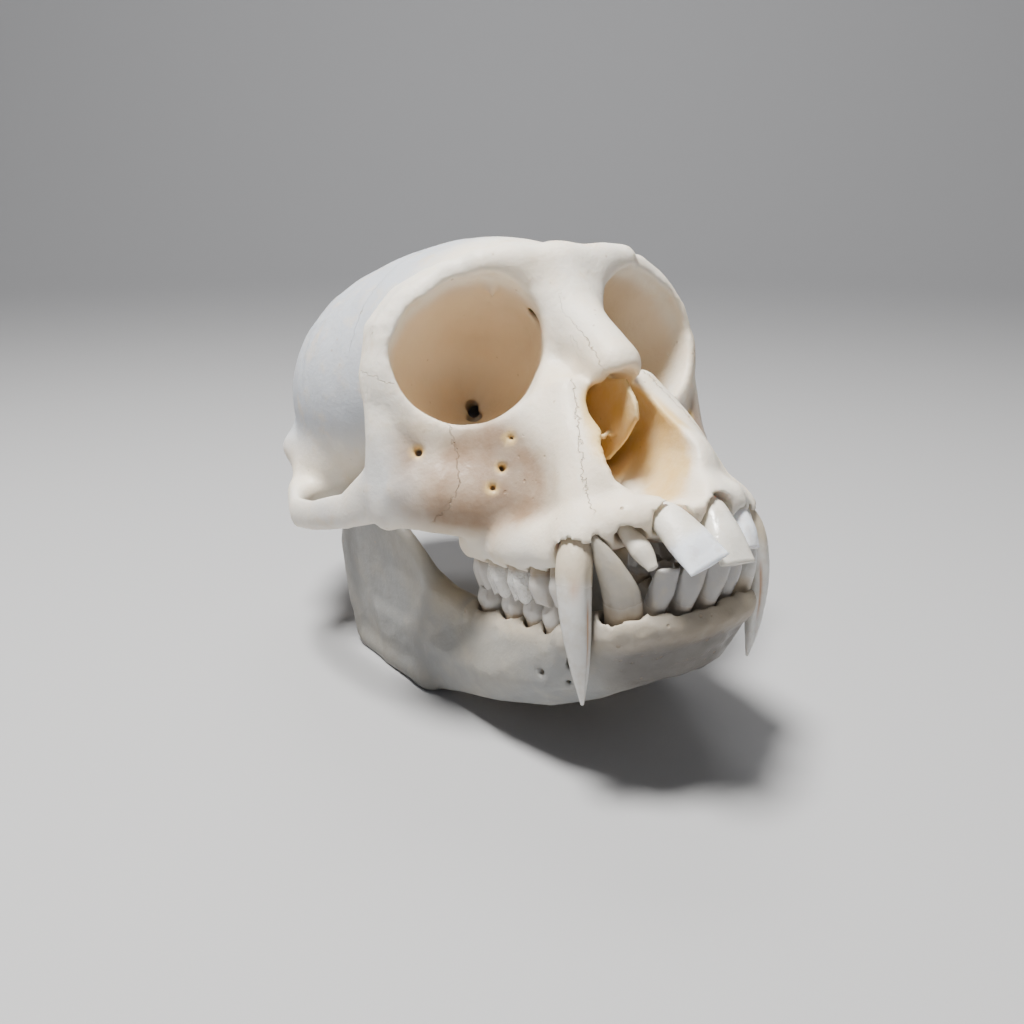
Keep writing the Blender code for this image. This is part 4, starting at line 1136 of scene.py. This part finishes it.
def add_floor():
    """A round plain floor that curves up into a low wall."""
    bend = np.radians(np.linspace(0, 90, FLOOR_BENDS))[1:]
    radii = np.r_[FLOOR_FLAT, FLOOR_FLAT + FLOOR_BEND * np.sin(bend), FLOOR_FLAT + FLOOR_BEND]
    heights = np.r_[0, FLOOR_BEND * (1 - np.cos(bend)), FLOOR_HEIGHT]
    turns = np.linspace(0, 2 * np.pi, FLOOR_SIDES, endpoint=False)
    points = [(r * np.cos(t), r * np.sin(t), h) for r, h in zip(radii, heights) for t in turns]
    faces = [tuple(range(FLOOR_SIDES))]
    for ring in range(len(radii) - 1):
        for k in range(FLOOR_SIDES):
            a, b = ring * FLOOR_SIDES + k, ring * FLOOR_SIDES + (k + 1) % FLOOR_SIDES
            faces.append((a, a + FLOOR_SIDES, b + FLOOR_SIDES, b))
    mesh = bpy.data.meshes.new("floor")
    mesh.from_pydata(points, [], faces)
    mesh.shade_smooth()
    floor = add_object("floor", mesh)
    material = bpy.data.materials.new("floor")
    material.use_nodes = True
    shader = material.node_tree.nodes["Principled BSDF"]
    shader.inputs["Base Color"].default_value = (*FLOOR_COLOUR, 1)
    shader.inputs["Roughness"].default_value = FLOOR_ROUGHNESS
    floor.data.materials.append(material)


def add_light(name, place, target, size, watts, colour):
    light = bpy.data.lights.new(name, "AREA")
    light.shape = "DISK"
    light.size = size
    light.energy = watts
    light.color = colour
    item = add_object(name, light)
    item.location = place
    item.rotation_mode = "QUATERNION"
    item.rotation_quaternion = (Vector(target) - Vector(place)).to_track_quat("-Z", "Y")


def add_world():
    world = bpy.data.worlds.new("studio")
    bpy.context.scene.world = world
    world.use_nodes = True
    background = world.node_tree.nodes["Background"]
    background.inputs["Color"].default_value = (*WORLD_COLOUR, 1)
    background.inputs["Strength"].default_value = WORLD_STRENGTH


# a fuller form of the right lower canine, and where the first upper incisors' roots end: y and z
FULL_CANINE = ([(-8.2, -39.4, 12.5), (-9.2, -43.8, 18.2), (-10.6, -46.2, 24), (-12.6, -46, 29),
                (-13.9, -44.4, 33.3)],
               [2, 2.8, 2.9, 1.9, .25], [1.8, 2.3, 2.1, 1.2, .25], (-.6, 1, 0))
ROOT_END = (-43.6, 34.6)
# how far some front teeth stand to the skull's left of where the plain form has them, in millimetres
SLIPPED = {"right_upper_i2": 1.1, "right_lower_i2": 1.5, "right_lower_i1": 1.2, "left_lower_i1": .9,
           "left_upper_i1": -.9}


def refine_front_teeth():
    TEETH["right_lower_canine"] = FULL_CANINE
    for name in ("right_upper_i1", "left_upper_i1"):
        path, *widths_and_way = TEETH[name]
        TEETH[name] = ([(path[0][0], *ROOT_END), *path[1:]], *widths_and_way)
    for name, slip in SLIPPED.items():
        path, *widths_and_way = TEETH[name]
        moved = [(x + slip * min(k, 2) / 2, y, z) for k, (x, y, z) in enumerate(path)]
        TEETH[name] = (moved, *widths_and_way)


add_camera()
add_floor()
for light_values in LIGHTS:
    add_light(*light_values)
add_world()
refine_front_teeth()

skull, rest_points, right_points, seam_side, seam_along = fine_cranium()
bone_masks(skull, rest_points, right_points, seam_side, seam_along)
thin_out(skull, FINE_TRIANGLES)
skull.data.materials.append(bone_material("dry_bone", IVORY, PALE, TAN, .5))
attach(skull, "root")
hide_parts("cranium")

jaw = fine_mandible(cranium(FINE))
# the jaw's greys are painted darker than the cranium's, for the shade it lies in under the cranium
jaw.data.materials.append(bone_material("jaw_bone_painted_shade", JAW_GREY_SHADED, JAW_WARM_SHADED, JAW_SHADE, .12))
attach(jaw, "root")
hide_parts("mandible")

looks = {kind: tooth_material(*values) for kind, values in TOOTH_LOOKS.items()}
for tooth_name, tooth_form in TEETH.items():
    tooth = fine_tooth(tooth_name, tooth_form)
    look = next((looks[kind] for kind in looks if kind in tooth_name), looks["cheek"])
    tooth.data.materials.append(look)
    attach(tooth, "root")
    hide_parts(tooth_name)
